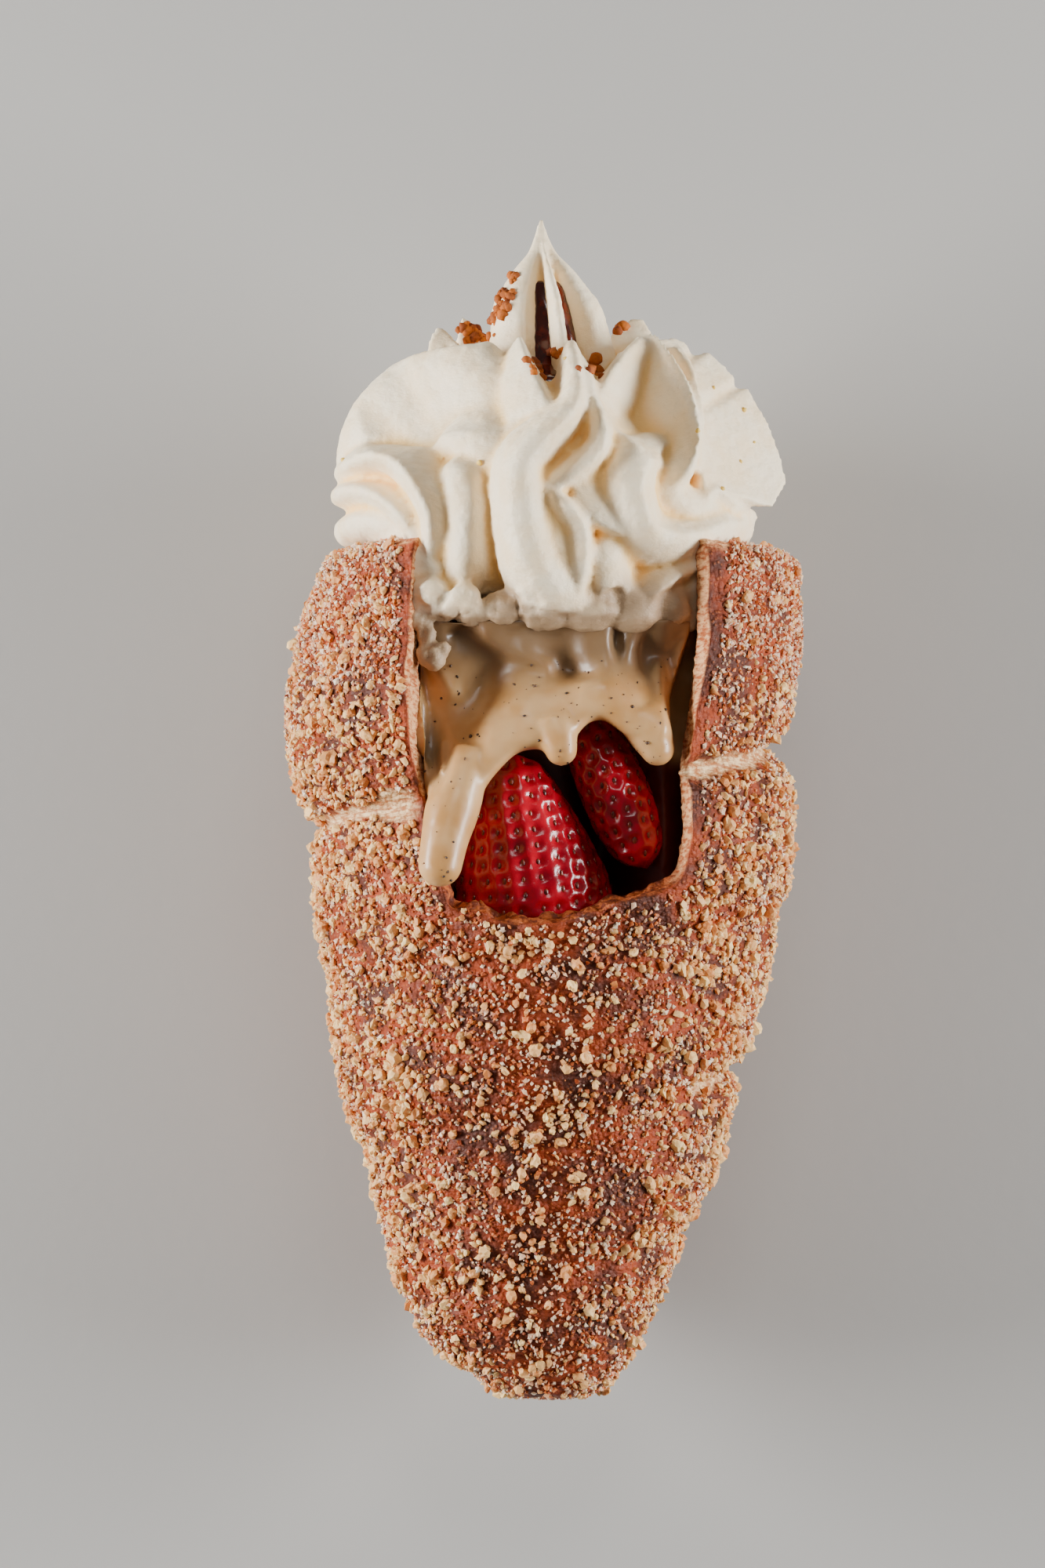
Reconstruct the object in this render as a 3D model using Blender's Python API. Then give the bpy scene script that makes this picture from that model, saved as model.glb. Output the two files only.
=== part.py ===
"""A filled chimney cake cone: a strip of yeast dough wound on a cone, baked and rolled in sugar
and nuts, with a window cut in its front, custard and two strawberries inside and piped cream on top.

The pieces are modelled upright round the cone's own axis, in millimetres: the tip at height 0, the
front towards -Y. Azimuths are in degrees from the front, positive to the right. One empty then lays
the cake down on its back, because a cone can't stand.
"""

import math
import random

import bmesh
import bpy
import numpy as np
from mathutils import Matrix, Vector, noise

MM = 0.001

# The dough
CAKE_LENGTH = 155.0
RIM_START = 149.5
OUTER_PROFILE = (
    (0.0, 0.0), (1.2, 7.8), (4.0, 12.0), (7.5, 15.8), (13.0, 20.2), (27.0, 25.8), (56.0, 35.0),
    (90.0, 41.4), (112.0, 44.2), (128.0, 45.4), (139.0, 44.8), (155.0, 42.0),
)
INNER_PROFILE = (
    (17.0, 0.0), (18.5, 7.0), (24.0, 13.0), (56.0, 25.4), (90.0, 32.0), (122.0, 35.4),
    (139.0, 35.2), (155.0, 32.0),
)
MOUTH_LEAN = 2.2
LEANS_BETWEEN = (118.0, 156.0)
RIM_DIP = 3.2
DIPS_FROM = 140.0
RIM_STEPS = 5
# How far the cone's axis wanders to one side, at a few heights
AXIS_ASIDE = (
    (0.0, 1.6), (6.0, 0.2), (14.0, -2.2), (24.0, -1.8), (40.0, -0.5), (70.0, 0.0), (94.0, 1.2),
    (108.0, 0.2), (118.0, -1.0), (128.0, -0.7), (142.0, 0.9), (155.0, 1.3),
)
STRIP_PITCH = 28.6
SEAM_HEIGHT = 116.5
STRIP_BULGE = 1.1
BULGE_FULLNESS = 0.7
BULGE_MIDDLE = 0.62
SEAM_DEPTH = 0.7
SEAM_WIDTH = 1.5
# How much wider a seam is for its depth where it has opened, and from what share of its length it closes
SPLIT_WIDENING = 0.25
SPLIT_CLOSES = 0.55
# How uneven the dough is, and the sizes of its larger and smaller lumps
DOUGH_ROUGHNESS = 0.9
DOUGH_LUMPS = (22.0, 9.0)
SMALL_LUMPS = 0.6
LUMPS_RADIUS = 30.0
# The strip's pattern starts above the rounded tip
PLAIN_TIP = 16.0
STRIP_STATIONS = (0.0, 0.08, 0.36, 0.64, 0.92)
COLUMNS = 40
# The heights at which both the dough's inside and the custard have points
INSIDE_HEIGHTS = (145.0, 139.5, 129.0, 117.0, 103.0, 90.0, 81.0, 68.0, 54.0, 40.0, 29.0, 21.5, 17.0)
# Where a seam has opened: how many turns above the first, azimuth, half length in degrees, depth
SPLITS = (
    (0, 72, 46, 3.4), (0, -66, 42, 2.6), (-2, 78, 34, 2.6), (-1, 134, 40, 2.4), (1, -140, 36, 2.0),
)

# The window: its outline on the crust and where its walls meet the filling, as (across, height) pairs
WINDOW = (
    ((-16.8, 88.4), (-15.0, 89.2)), ((-19.0, 93.6), (-16.0, 93.5)), ((-21.6, 104.0), (-18.2, 103.0)),
    ((-23.4, 116.0), (-20.6, 116.0)), ((-24.6, 130.0), (-21.6, 130.0)), ((-24.1, 172.0), (-21.0, 172.0)),
    ((32.0, 172.0), (26.0, 172.0)), ((31.2, 138.0), (26.6, 136.0)), ((28.0, 124.0), (25.6, 126.0)),
    ((27.4, 113.0), (23.6, 113.0)), ((27.4, 102.0), (24.2, 102.0)), ((25.6, 92.4), (23.0, 95.0)),
    ((20.0, 90.4), (19.0, 92.8)), ((12.0, 89.0), (11.6, 91.0)), ((6.5, 87.2), (6.2, 89.0)),
    ((-1.0, 85.8), (-0.8, 87.8)), ((-7.5, 86.0), (-7.0, 88.0)), ((-12.4, 88.8), (-11.4, 89.6)),
)
WINDOW_MIDDLE = (2.0, 118.0)
WINDOW_FRONT = -64.0
WINDOW_CRUST = -41.0
WINDOW_INSIDE = -30.0
WINDOW_BACK = -19.0

# The nuts and sugar on the crust
CRUMB_SIZE = (1.5, 2.9)
CRUMB_SINK = 0.15
# Between what heights they lie, how they crowd towards the top, and how far from their places they stray
CRUMB_HEIGHTS = (8.0, 148.5)
CRUMB_CROWDING = 0.72
CRUMB_STRAY = (6.0, 2.0)
CRUMB_TRIES = 70
WINDOW_MARGIN = 4.0
FLOOR_MARGIN = 2.0

# The cream
CREAM_ASIDE = 1.4
CREAM_FLOOR = 140.0
MOUND_COLUMNS = 150
MOUND_ROWS = 84
MOUND_TRIANGLES = 2500
# The mound under the ridges: from its middle over its shoulder and down, as (radius, height)
MOUND_PATH = (
    (0.5, 176), (7, 176), (14, 178.5), (19, 179), (25.5, 176), (30, 171.5), (32, 166.5), (33, 161),
    (32.5, 155.5), (32, 149), (31, 144), (29, 140),
)
# The cream's ridges as seen from in front: points (across, height, rise), and the flanks on the right and
# the left of a ridge that runs down: width at its first and its last point, and how hollow from 0 to 1
RIDGES = (
    # the large petal on the left, its edge above the middle and its foot
    (((-5, 191, 12), (-9.5, 188, 9.5), (-16, 187, 9.5), (-22, 186, 9.5), (-28, 183.5, 9), (-35, 176, 8),
      (-39, 165, 6)), (14, 14, 0.8), (4, 3, 0.2)),
    (((-5, 191, 11.5), (-2.5, 184, 8), (1, 176.5, 6), (0.5, 172.5, 4.5)), (2, 2, 0.1), (7, 12, 0.3)),
    (((-13.5, 175, 3), (-12, 171.5, 3), (-11, 168, 2.5)), (8, 4, 0), (10, 6, 0)),
    # the three rolls on the left and the bulge beside them
    (((-40, 163, 5.5), (-38.5, 166, 6.5), (-32, 168.5, 8), (-26, 166.5, 8), (-21, 159, 8.5),
      (-20, 154.5, 8.5), (-20.5, 150.5, 7.5)), (4, 6.5, 0.4), (3, 3.5, 0)),
    (((-40.5, 160.5, 6), (-37, 162.5, 7), (-31, 161.5, 7.5), (-25.5, 157, 7.5), (-22, 150, 6)),
     (2, 2, 0.1), (4, 3, 0)),
    (((-40, 154, 6), (-36, 156, 6.5), (-30, 156, 6.5), (-24, 151, 5)), (2.5, 2.5, 0), (5, 4, 0)),
    (((-15.5, 164, 5), (-14.5, 157, 6.5), (-15, 149, 6.5), (-17, 143.5, 5.5)), (4.5, 4.5, 0), (5, 6.5, 0)),
    # the long fold in the middle, which bends left and back
    (((5, 189.5, 9.5), (6, 181, 9.5), (5, 176, 9.5), (0, 171, 10), (-4, 166, 10), (-4, 158, 10),
      (-2, 149, 9.5), (1.5, 143, 8.5), (5, 139.5, 7)), (1.5, 8.5, 0), (3.5, 8.5, 0)),
    # its right edge, above and below, and the hollow between them
    (((6, 188, 7), (9, 180, 7.5), (11, 172, 8), (9.5, 167.5, 8), (5, 163.5, 7), (1.5, 161.5, 6)),
     (1.2, 2, 0.1), (3.5, 4.5, 0)),
    (((0, 162.5, 6), (4, 159, 8), (7, 155, 8), (7.5, 150, 8), (6.5, 144, 7), (5, 140, 6)),
     (1.5, 1.5, 0.1), (7, 7, 0.2)),
    (((0.5, 157, 6), (2, 151, 6.5), (4.5, 144.5, 6.5)), (6.5, 6.5, 0), (6.5, 6.5, 0)),
    # the large petal on the right, its edge above the middle and its foot
    (((18.5, 189.5, 12), (21, 186.5, 11), (25.5, 180.5, 9.5), (27.5, 173, 9), (26.5, 166.5, 8),
      (24, 162.5, 5)), (1.8, 1.8, 0.2), (10, 9, 0.75)),
    (((18, 189.5, 11.5), (15, 187, 9.5), (11.5, 183, 7.5), (10.5, 178, 5)), (8, 8, 0.3), (1.8, 1.8, 0.1)),
    (((15, 175, 3), (17.5, 172, 3), (19.5, 169.5, 2.5)), (8, 4, 0), (8, 5, 0)),
    # the curl under it, its basin, its lower edge and the bulge below
    (((21, 168.5, 6), (18.5, 166, 8), (17.5, 161, 9.5), (19, 156, 10), (22, 154, 9), (27, 154, 8.5),
      (33.5, 156, 7)), (3, 4.5, 0.35), (9, 7, 0)),
    (((24.5, 160.5, 4.5), (28, 158.5, 5), (31, 158, 5)), (4.5, 4.5, 0), (4.5, 4.5, 0)),
    (((5.5, 163, 5), (6.5, 159, 6), (10, 155.5, 7), (17, 153, 7), (25, 152, 6.5)),
     (9, 6, 0), (1.3, 1.3, 0.1)),
    (((11, 149.5, 6), (12, 144.5, 6.5), (13.5, 140, 6)), (6, 6, 0), (5, 5, 0)),
    # the small curl low on the right
    (((32, 152.5, 7), (29, 148.5, 7.5), (24, 146, 8), (20, 143, 8), (19, 140, 7)),
     (2.5, 2.5, 0.4), (4.5, 4.5, 0.2)),
    (((32, 150.5, 6), (27, 143.5, 7), (21.5, 139.5, 6.5)), (4, 3, 0.1), (2.5, 2.5, 0.4)),
    # the ruffle on the right
    (((26, 157, 3), (29, 160, 5), (32, 162, 5.5), (35.5, 159, 5.5), (39.5, 157.5, 4)),
     (2, 2, 0.2), (3.5, 3.5, 0.2)),
)
# Hollows in the left and the right petal, in the same way
DENTS = (
    (((-28, 175, 3), (-20, 179, 3), (-11, 178, 1)), (5, 5, 0), (6, 5, 0)),
    (((15, 180.5, 2.5), (18.5, 176.5, 3.5), (22, 172, 3)), (6, 5, 0), (6, 5, 0)),
)
# How round a ridge is, how finely it is followed, and between what limits its points are looked for
RIDGE_ROUND = 0.8
RIDGE_STEPS = 4
RIDGE_REACH = (5.0, 7.0, 11.0)
# Thin fins with torn edges: the edge's points and the root's, as (across, forward, height), and how thick
FINS = (
    (((20, 9, 189), (23, 6, 189.5), (25.5, 5, 188.5), (26.5, 5, 186), (29.5, 4, 187), (31.5, 4, 185),
      (34, 4, 182.5), (34, 4, 180), (36.5, 4, 180.5), (39.5, 5, 175), (42, 6, 169), (43, 8, 163.5),
      (40.5, 14, 159)), ((20, 12, 183.5), (24, 16, 176.5), (26.5, 24, 161)), 3),
    (((-21, 2, 186), (-20, 0, 190.5), (-19, -1, 192), (-17.5, -1, 191.5), (-13.5, 3, 187)),
     ((-20, 2, 180.5), (-14, 4, 180.5)), 3),
    (((-16, -2, 187), (-15, -4, 192.5), (-14.5, -5, 194), (-13, -5, 193), (-8.5, -2, 188)),
     ((-14.5, -2, 183), (-8.5, -1, 183)), 3),
    (((11.5, -4, 188), (12.5, -7, 191.5), (16, -9, 194), (18, -9, 193.5), (20.5, -6, 189.5),
      (21.5, -4, 187)), ((12.5, -3, 183.5), (20.5, -2, 182.5)), 4),
)
FIN_EDGE = 0.5
FIN_LAYERS = 2
# How far out the cream may reach inside the mouth, between what heights that ends, and between what
# azimuths it hangs into the window instead
MOUTH_REACH = 30.6
MOUTH_EDGE = (152.6, 156.4)
WINDOW_SIDES = (-38.0, 45.0)
SIDE_SOFTNESS = 3.0
# The peak: how its radius runs down, and how far out it stands at each azimuth, with deep slots in front
SPIRE_PATH = (
    (0.5, 211.0), (1.4, 208.0), (2.8, 205.0), (5.2, 202.4), (7.8, 199.0), (10.0, 195.6), (11.2, 190.0),
    (12.4, 184.5), (12.4, 176.0),
)
SPIRE_ROUND = (
    (-180, 0.5), (-165, 0.9), (-150, 1.0), (-128, 0.9), (-112, 0.5), (-98, 0.88), (-75, 0.98), (-52, 1.0),
    (-34, 0.92), (-22, 0.78), (-12, 0.4), (-2, 0.46), (6, 0.86), (12, 1.0), (18, 0.86), (26, 0.46), (36, 0.4),
    (46, 0.78), (58, 0.92), (68, 1.0), (95, 0.95), (110, 0.85), (124, 0.5), (140, 0.9), (160, 1.0),
    (170, 0.85), (180, 0.5),
)
SPIRE_ROWS = 10
SPIRE_COLUMNS = 40
SPIRE_TRIANGLES = 560
SPIRE_LEAN = 1.8
SPIRE_LEANS_FROM = 182.0
# The sauce in the slots and round the foot of the peak, as (radius, height)
SAUCE_PATH = ((2.0, 199.0), (4.6, 197.0), (6.2, 191.0), (7.4, 185.0), (13.2, 182.2), (13.4, 179.5))
SAUCE_COLUMNS = 14
# Biscuit crumbs on the cream, as (azimuth, radius, height, size)
BISCUIT_CRUMBS = (
    (-80, 13.0, 189.8, 2.6), (-66, 12.4, 190.4, 2.2), (-60, 10.6, 195.2, 1.8), (-60, 7.2, 200.0, 1.6),
    (-10, 12.2, 182.8, 2.6), (32, 12.8, 182.4, 2.6), (104, 12.8, 191.6, 2.4), (170, 12.6, 184.0, 2.4),
)

# The filling
CUSTARD_GAP = 0.5
CUSTARD_TOP = 139.5
POCKET_HEIGHTS = (85.0, 123.0)
# How far the custard is drawn back in front, at a few heights
POCKET = (
    (80.0, 0.0), (84.0, 7.0), (88.0, 14.0), (96.0, 15.0), (118.0, 15.0), (126.0, 9.0), (132.0, 7.5),
    (140.0, 6.5),
)
POCKET_AZIMUTH = 3.0
POCKET_HALF = (28.0, 42.0)
# The hollow beside the custard on the right: its azimuth, half its width, and where it starts and ends
HOLLOW_DEPTH = 7.0
HOLLOW_AZIMUTH = 44.0
HOLLOW_HALF = (6.0, 14.0)
HOLLOW_BOTTOM = (84.0, 96.0)
HOLLOW_TOP = (130.0, 137.0)
# The custard that hangs in the window: its lower edge, as (across, height)
SHEET_EDGE = (
    (-21.8, 114.0), (-21.0, 109.0), (-17.0, 105.6), (-12.6, 106.4), (-8.6, 111.6), (-4.6, 115.4),
    (1.0, 116.4), (4.6, 117.4), (7.4, 120.4), (10.4, 121.2), (14.0, 119.0), (18.0, 117.4), (21.6, 119.4),
)
SHEET_COLUMNS = 24
# How far forward it stands at its edge, at a few places across
SHEET_FRONT = (
    (-21.8, 36.0), (-17.0, 38.6), (-10.0, 38.0), (0.0, 37.4), (9.0, 36.4), (17.0, 36.0), (21.6, 32.6),
)
# How far it draws back above its edge, over what height, and how much of that it gives up near its top
SHEET_BACK = 8.0
SHEET_SLOPE = 18.0
SHEET_RETURNS = 0.5
SHEET_RETURN_FROM = 130.0
SHEET_LIP = 2.6
SHEET_SHARES = (1.0, 0.72, 0.45, 0.24, 0.08)
SHEET_ANGLES = (20, 55, 90, 125, 160)
# Its back: how far forward it is at its foot and top, and how high its foot is above the edge
SHEET_INSIDE = (26.0, 22.0)
SHEET_FOOT = 4.5
# For each run of custard: its points as (across, forward, height) and its radius at each
RUNS = (
    (((-12.6, 33.6, 116.0), (-15.6, 36.4, 107.0), (-17.2, 38.6, 100.6), (-18.0, 39.6, 96.2)),
     (3.6, 4.8, 4.2, 3.9)),
    (((1.4, 34.0, 121.0), (2.6, 35.2, 117.6), (3.0, 35.4, 116.2)), (4.0, 3.4, 2.9)),
    (((16.6, 31.6, 122.0), (19.0, 32.4, 118.0), (19.8, 32.6, 116.4)), (4.0, 3.6, 3.1)),
)
RUN_SIDES = 10
RUN_END_TURNS = (0.45, 0.9, 1.3)
# For each strawberry: the middle of its base, its tip, greatest radius, how deep it is for its width, and
# how its radius runs from base to tip
TALL_BERRY = (
    (0.0, 0.9), (0.12, 1.0), (0.3, 0.95), (0.5, 0.79), (0.68, 0.62), (0.83, 0.46), (0.93, 0.3), (1.0, 0.0),
)
SLIM_BERRY = ((0.0, 0.55), (0.2, 0.85), (0.45, 1.0), (0.7, 0.96), (0.85, 0.78), (0.94, 0.52), (1.0, 0.0))
BERRIES = (
    ("strawberry_left", (-1.4, -19.0, 84.0), (-5.8, -26.0, 115.8), 14.7, 0.85, TALL_BERRY),
    ("strawberry_right", (6.8, -21.0, 123.5), (18.6, -24.4, 95.2), 5.5, 1.3, SLIM_BERRY),
)
BERRY_RINGS = 13
BERRY_SIDES = 18
BERRY_GAP = 0.45

# How much room is cut for a piece that touches another, and for the cream with its steep flanks
ROOM = 0.6
CREAM_ROOM = 0.9

# How it lies
LYING_TILT = 6.6
PRESSED_FLAT = 1.5
REST_HEIGHT = 106.0


def through(knots, at):
    """The value at a place on one smooth curve through (place, value) knots."""
    if at <= knots[0][0]:
        return knots[0][1]
    for i in range(len(knots) - 1):
        (a, fa), (b, fb) = knots[i], knots[i + 1]
        if at <= b:
            before = knots[max(i - 1, 0)]
            after = knots[min(i + 2, len(knots) - 1)]
            slope_a = (fb - before[1]) / (b - before[0])
            slope_b = (after[1] - fa) / (after[0] - a)
            t = (at - a) / (b - a)
            return (
                fa * (1 + 2 * t) * (1 - t) ** 2 + slope_a * (b - a) * t * (1 - t) ** 2
                + fb * t * t * (3 - 2 * t) + slope_b * (b - a) * t * t * (t - 1)
            )
    return knots[-1][1]


def along(points, at):
    """The point at a place, counted in points, on one smooth curve through a list of points."""
    return tuple(through([(i, p[axis]) for i, p in enumerate(points)], at) for axis in range(len(points[0])))


def ease(low, high, value):
    """0 below low, 1 above high and smooth between."""
    t = min(max((value - low) / (high - low), 0.0), 1.0)
    return t * t * (3 - 2 * t)


def turned(azimuth, radius, height, aside=0.0):
    angle = math.radians(azimuth)
    return Vector((aside + radius * math.sin(angle), -radius * math.cos(angle), height))


def angle_between(a, b):
    return abs((a - b + 180) % 360 - 180)


def solid(name, points, faces):
    """A new object, closed, with its faces pointing out. Points are in millimetres."""
    mesh = bpy.data.meshes.new(name)
    shape = bmesh.new()
    vertices = [shape.verts.new(Vector(p) * MM) for p in points]
    for face in faces:
        if len(set(face)) > 2:
            shape.faces.new([vertices[i] for i in dict.fromkeys(face)])
    bmesh.ops.remove_doubles(shape, verts=shape.verts, dist=0.01 * MM)
    bmesh.ops.dissolve_degenerate(shape, edges=shape.edges, dist=0.005 * MM)
    bmesh.ops.triangulate(shape, faces=[f for f in shape.faces if len(f.verts) > 3])
    bmesh.ops.recalc_face_normals(shape, faces=shape.faces)
    shape.to_mesh(mesh)
    shape.free()
    made = bpy.data.objects.new(name, mesh)
    bpy.context.scene.collection.objects.link(made)
    return made


def ring_faces(rows, columns, start=0):
    """The quads between rings of points laid one after another."""
    return [
        (
            start + i * columns + j,
            start + i * columns + (j + 1) % columns,
            start + (i + 1) * columns + (j + 1) % columns,
            start + (i + 1) * columns + j,
        )
        for i in range(rows - 1)
        for j in range(columns)
    ]


def ringed(name, rings):
    """A closed solid through rings of points, with its first and last ring closed to their middles."""
    columns = len(rings[0])
    points = [p for ring in rings for p in ring]
    faces = ring_faces(len(rings), columns)
    for ring, first in ((rings[0], 0), (rings[-1], (len(rings) - 1) * columns)):
        middle = len(points)
        points.append(sum(ring, Vector()) / columns)
        faces += [(middle, first + j, first + (j + 1) % columns) for j in range(columns)]
    return solid(name, points, faces)


def settle(target):
    """Turns what the modifiers make of an object into its own mesh."""
    graph = bpy.context.evaluated_depsgraph_get()
    made = bpy.data.meshes.new_from_object(target.evaluated_get(graph), depsgraph=graph)
    target.modifiers.clear()
    old = target.data
    target.data = made
    bpy.data.meshes.remove(old)


def thinned(target, triangles):
    """Keeps about so many triangles, where they describe the shape best."""
    fewer = target.modifiers.new("fewer", "DECIMATE")
    fewer.ratio = triangles / len(target.data.polygons)
    settle(target)
    return target


def cut(target, cutter):
    """Takes the cutter's shape out of the target, and removes the cutter."""
    boolean = target.modifiers.new("cut", "BOOLEAN")
    boolean.operation = "DIFFERENCE"
    boolean.object = cutter
    settle(target)
    bpy.data.objects.remove(cutter)


def fuse(target, pieces):
    """Joins pieces to the target with one union, and removes them."""
    group = bpy.data.collections.new("fused")
    bpy.context.scene.collection.children.link(group)
    for piece in pieces:
        group.objects.link(piece)
    union = target.modifiers.new("fuse", "BOOLEAN")
    union.operation = "UNION"
    union.operand_type = "COLLECTION"
    union.collection = group
    settle(target)
    for piece in pieces:
        bpy.data.objects.remove(piece)
    bpy.data.collections.remove(group)


def keep_largest(target):
    """Drops loose scraps and the walls of sealed hollows."""
    shape = bmesh.new()
    shape.from_mesh(target.data)
    left, islands = set(shape.verts), []
    while left:
        stack = [left.pop()]
        island = set(stack)
        while stack:
            for edge in stack.pop().link_edges:
                for vertex in edge.verts:
                    if vertex not in island:
                        island.add(vertex)
                        left.discard(vertex)
                        stack.append(vertex)
        islands.append(island)
    biggest = max(islands, key=len)
    bmesh.ops.delete(shape, geom=[v for v in shape.verts if v not in biggest], context="VERTS")
    shape.to_mesh(target.data)
    shape.free()


# ---------------------------------------------------------------- the dough


def lean(azimuth, height):
    """The mouth leans right as a whole: in on the left, out on the right."""
    return MOUTH_LEAN * math.sin(math.radians(azimuth)) * ease(*LEANS_BETWEEN, height)


def axis_aside(height):
    return through(AXIS_ASIDE, height)


def split_depth(azimuth, seam_turn):
    """How much deeper the seam is where it has opened."""
    found = 0.0
    for turn, middle, half_length, depth in SPLITS:
        if turn == seam_turn:
            along_it = angle_between(azimuth, middle) / half_length
            found = max(found, depth * (1 - ease(SPLIT_CLOSES, 1.0, along_it)))
    return found


def crust(azimuth, height):
    """A point on the crust."""
    azimuth = (azimuth + 180) % 360 - 180
    strip = (height - SEAM_HEIGHT) / STRIP_PITCH - (azimuth - 90) / 360
    across = strip - math.floor(strip)
    seam_turn = round(strip)
    from_seam = min(across, 1 - across) * STRIP_PITCH
    opened = split_depth(azimuth, seam_turn)
    groove = (SEAM_DEPTH + opened) * math.exp(-((from_seam / (SEAM_WIDTH + SPLIT_WIDENING * opened)) ** 2))
    bulge = STRIP_BULGE * (math.sin(math.pi * across) ** BULGE_FULLNESS - BULGE_MIDDLE)
    place = turned(azimuth, LUMPS_RADIUS, height)
    large, small = (noise.noise(place / size) for size in DOUGH_LUMPS)
    rough = DOUGH_ROUGHNESS * (large + SMALL_LUMPS * small)
    fade = ease(0.0, PLAIN_TIP, height)
    radius = through(OUTER_PROFILE, height) + lean(azimuth, height) + (bulge - groove + rough) * fade
    return turned(azimuth, radius, height, axis_aside(height))


def drooped(point):
    """The rim hangs lower at the two sides than in front and behind."""
    share = point.x * point.x / max(point.x * point.x + point.y * point.y, 1.0)
    return point - Vector((0, 0, RIM_DIP * share * ease(DIPS_FROM, CAKE_LENGTH, point.z)))


def inner_radius(azimuth, height):
    at_bottom = height <= INNER_PROFILE[0][0]
    return 0.0 if at_bottom else through(INNER_PROFILE, height) + lean(azimuth, height)


def dough_shell():
    """The wound strip as one skin from the tip to the mouth, over the rim and down the inside."""
    rows_per_turn = len(STRIP_STATIONS)
    below = 1 + math.ceil(SEAM_HEIGHT / STRIP_PITCH)
    turns = below + 1 + math.ceil((RIM_START - SEAM_HEIGHT) / STRIP_PITCH)
    length = turns * COLUMNS
    points, faces = [], []
    for i in range(length + 1):
        azimuth = 360.0 * i / COLUMNS
        for across in STRIP_STATIONS:
            height = SEAM_HEIGHT + STRIP_PITCH * (across + (azimuth - 90) / 360 - below)
            points.append(crust(azimuth, min(max(height, 0.0), RIM_START)))
    for i in range(length):
        for j in range(rows_per_turn):
            if j + 1 < rows_per_turn:
                a, b = i * rows_per_turn + j + 1, (i + 1) * rows_per_turn + j + 1
            else:
                a, b = (i + COLUMNS) * rows_per_turn, (i + 1 + COLUMNS) * rows_per_turn
            if max(a, b) < len(points):
                faces.append((i * rows_per_turn + j, (i + 1) * rows_per_turn + j, b, a))

    first = len(points)
    azimuths = [360.0 * j / COLUMNS for j in range(COLUMNS)]
    for i in range(RIM_STEPS + 1):
        turn = math.pi * i / RIM_STEPS
        for azimuth in azimuths:
            outer = crust(azimuth, RIM_START)
            inner = turned(azimuth, inner_radius(azimuth, RIM_START), RIM_START, axis_aside(RIM_START))
            middle, half = (outer + inner) / 2, (outer - inner) / 2
            lift = (CAKE_LENGTH - RIM_START) * math.sin(turn)
            points.append(middle + half * math.cos(turn) + Vector((0, 0, lift)))
    for height in INSIDE_HEIGHTS:
        for azimuth in azimuths:
            points.append(turned(azimuth, inner_radius(azimuth, height), height, axis_aside(height)))
    faces += ring_faces(RIM_STEPS + len(INSIDE_HEIGHTS) + 1, COLUMNS, first)
    return solid("dough_cone", [drooped(p) for p in points], faces)


def window_cutter():
    """The block that opens the front, its walls drawn in towards the filling."""
    rings = []
    for depth in (WINDOW_FRONT, WINDOW_CRUST, WINDOW_INSIDE, WINDOW_BACK):
        share = ease(0.0, 1.0, (WINDOW_CRUST - depth) / (WINDOW_CRUST - WINDOW_INSIDE))
        rings.append([Vector((a + (c - a) * share, depth, b + (d - b) * share)) for (a, b), (c, d) in WINDOW])
    return ringed("window", rings)


def in_window(point, margin):
    """Whether a point in front lies inside the window's outline, grown by a margin."""
    if point.y > 0:
        return False
    middle, inside, outline = Vector(WINDOW_MIDDLE), False, []
    for corner, _ in WINDOW:
        outward = (Vector(corner) - middle).normalized()
        outline.append(Vector(corner) + outward * margin)
    for i, b in enumerate(outline):
        a = outline[i - 1]
        if (a.y > point.z) != (b.y > point.z):
            if point.x < a.x + (b.x - a.x) * (point.z - a.y) / (b.y - a.y):
                inside = not inside
    return inside


def nugget(name, centre, size, chance):
    """A small angular lump, such as a crushed nut."""
    mesh = bpy.data.meshes.new(name)
    shape = bmesh.new()
    bmesh.ops.create_icosphere(shape, subdivisions=1, radius=size / 2 * MM)
    stretch = Vector((chance.uniform(0.75, 1.3), chance.uniform(0.75, 1.3), chance.uniform(0.75, 1.1)))
    turn = Matrix.Rotation(chance.uniform(0, math.tau), 3, Vector((chance.random(), chance.random(), 1)))
    for vertex in shape.verts:
        vertex.co = turn @ (vertex.co * stretch * chance.uniform(0.85, 1.15)) + Vector(centre) * MM
    shape.to_mesh(mesh)
    shape.free()
    made = bpy.data.objects.new(name, mesh)
    bpy.context.scene.collection.objects.link(made)
    return made


def crumbs_on_crust(lie):
    """Nut pieces spread evenly over the crust, kept off the window and off the side that it lies on."""
    chance = random.Random(7)
    golden = 180 * (3 - math.sqrt(5))
    lowest, highest = CRUMB_HEIGHTS
    made = []
    for i in range(CRUMB_TRIES):
        share = ((i + 0.5) / CRUMB_TRIES) ** CRUMB_CROWDING
        azimuth = golden * i + chance.uniform(-CRUMB_STRAY[0], CRUMB_STRAY[0])
        height = lowest + (highest - lowest) * share + chance.uniform(-CRUMB_STRAY[1], CRUMB_STRAY[1])
        place, size = crust(azimuth, min(height, highest)), chance.uniform(*CRUMB_SIZE)
        if in_window(place, WINDOW_MARGIN) or (lie @ (place * MM)).z < (size + FLOOR_MARGIN) * MM:
            continue
        inward = Vector((place.x - axis_aside(height), place.y, 0)).normalized()
        made.append(nugget(f"crumb_{i}", place - inward * CRUMB_SINK * size, size, chance))
    return made


def press_flat(target, lie):
    """Flattens the side that the cake lies on, as soft dough does."""
    back = lie.inverted()
    for vertex in target.data.vertices:
        place = lie @ vertex.co
        if place.z < 0:
            place.z = 0
            vertex.co = back @ place


# ---------------------------------------------------------------- the cream


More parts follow.
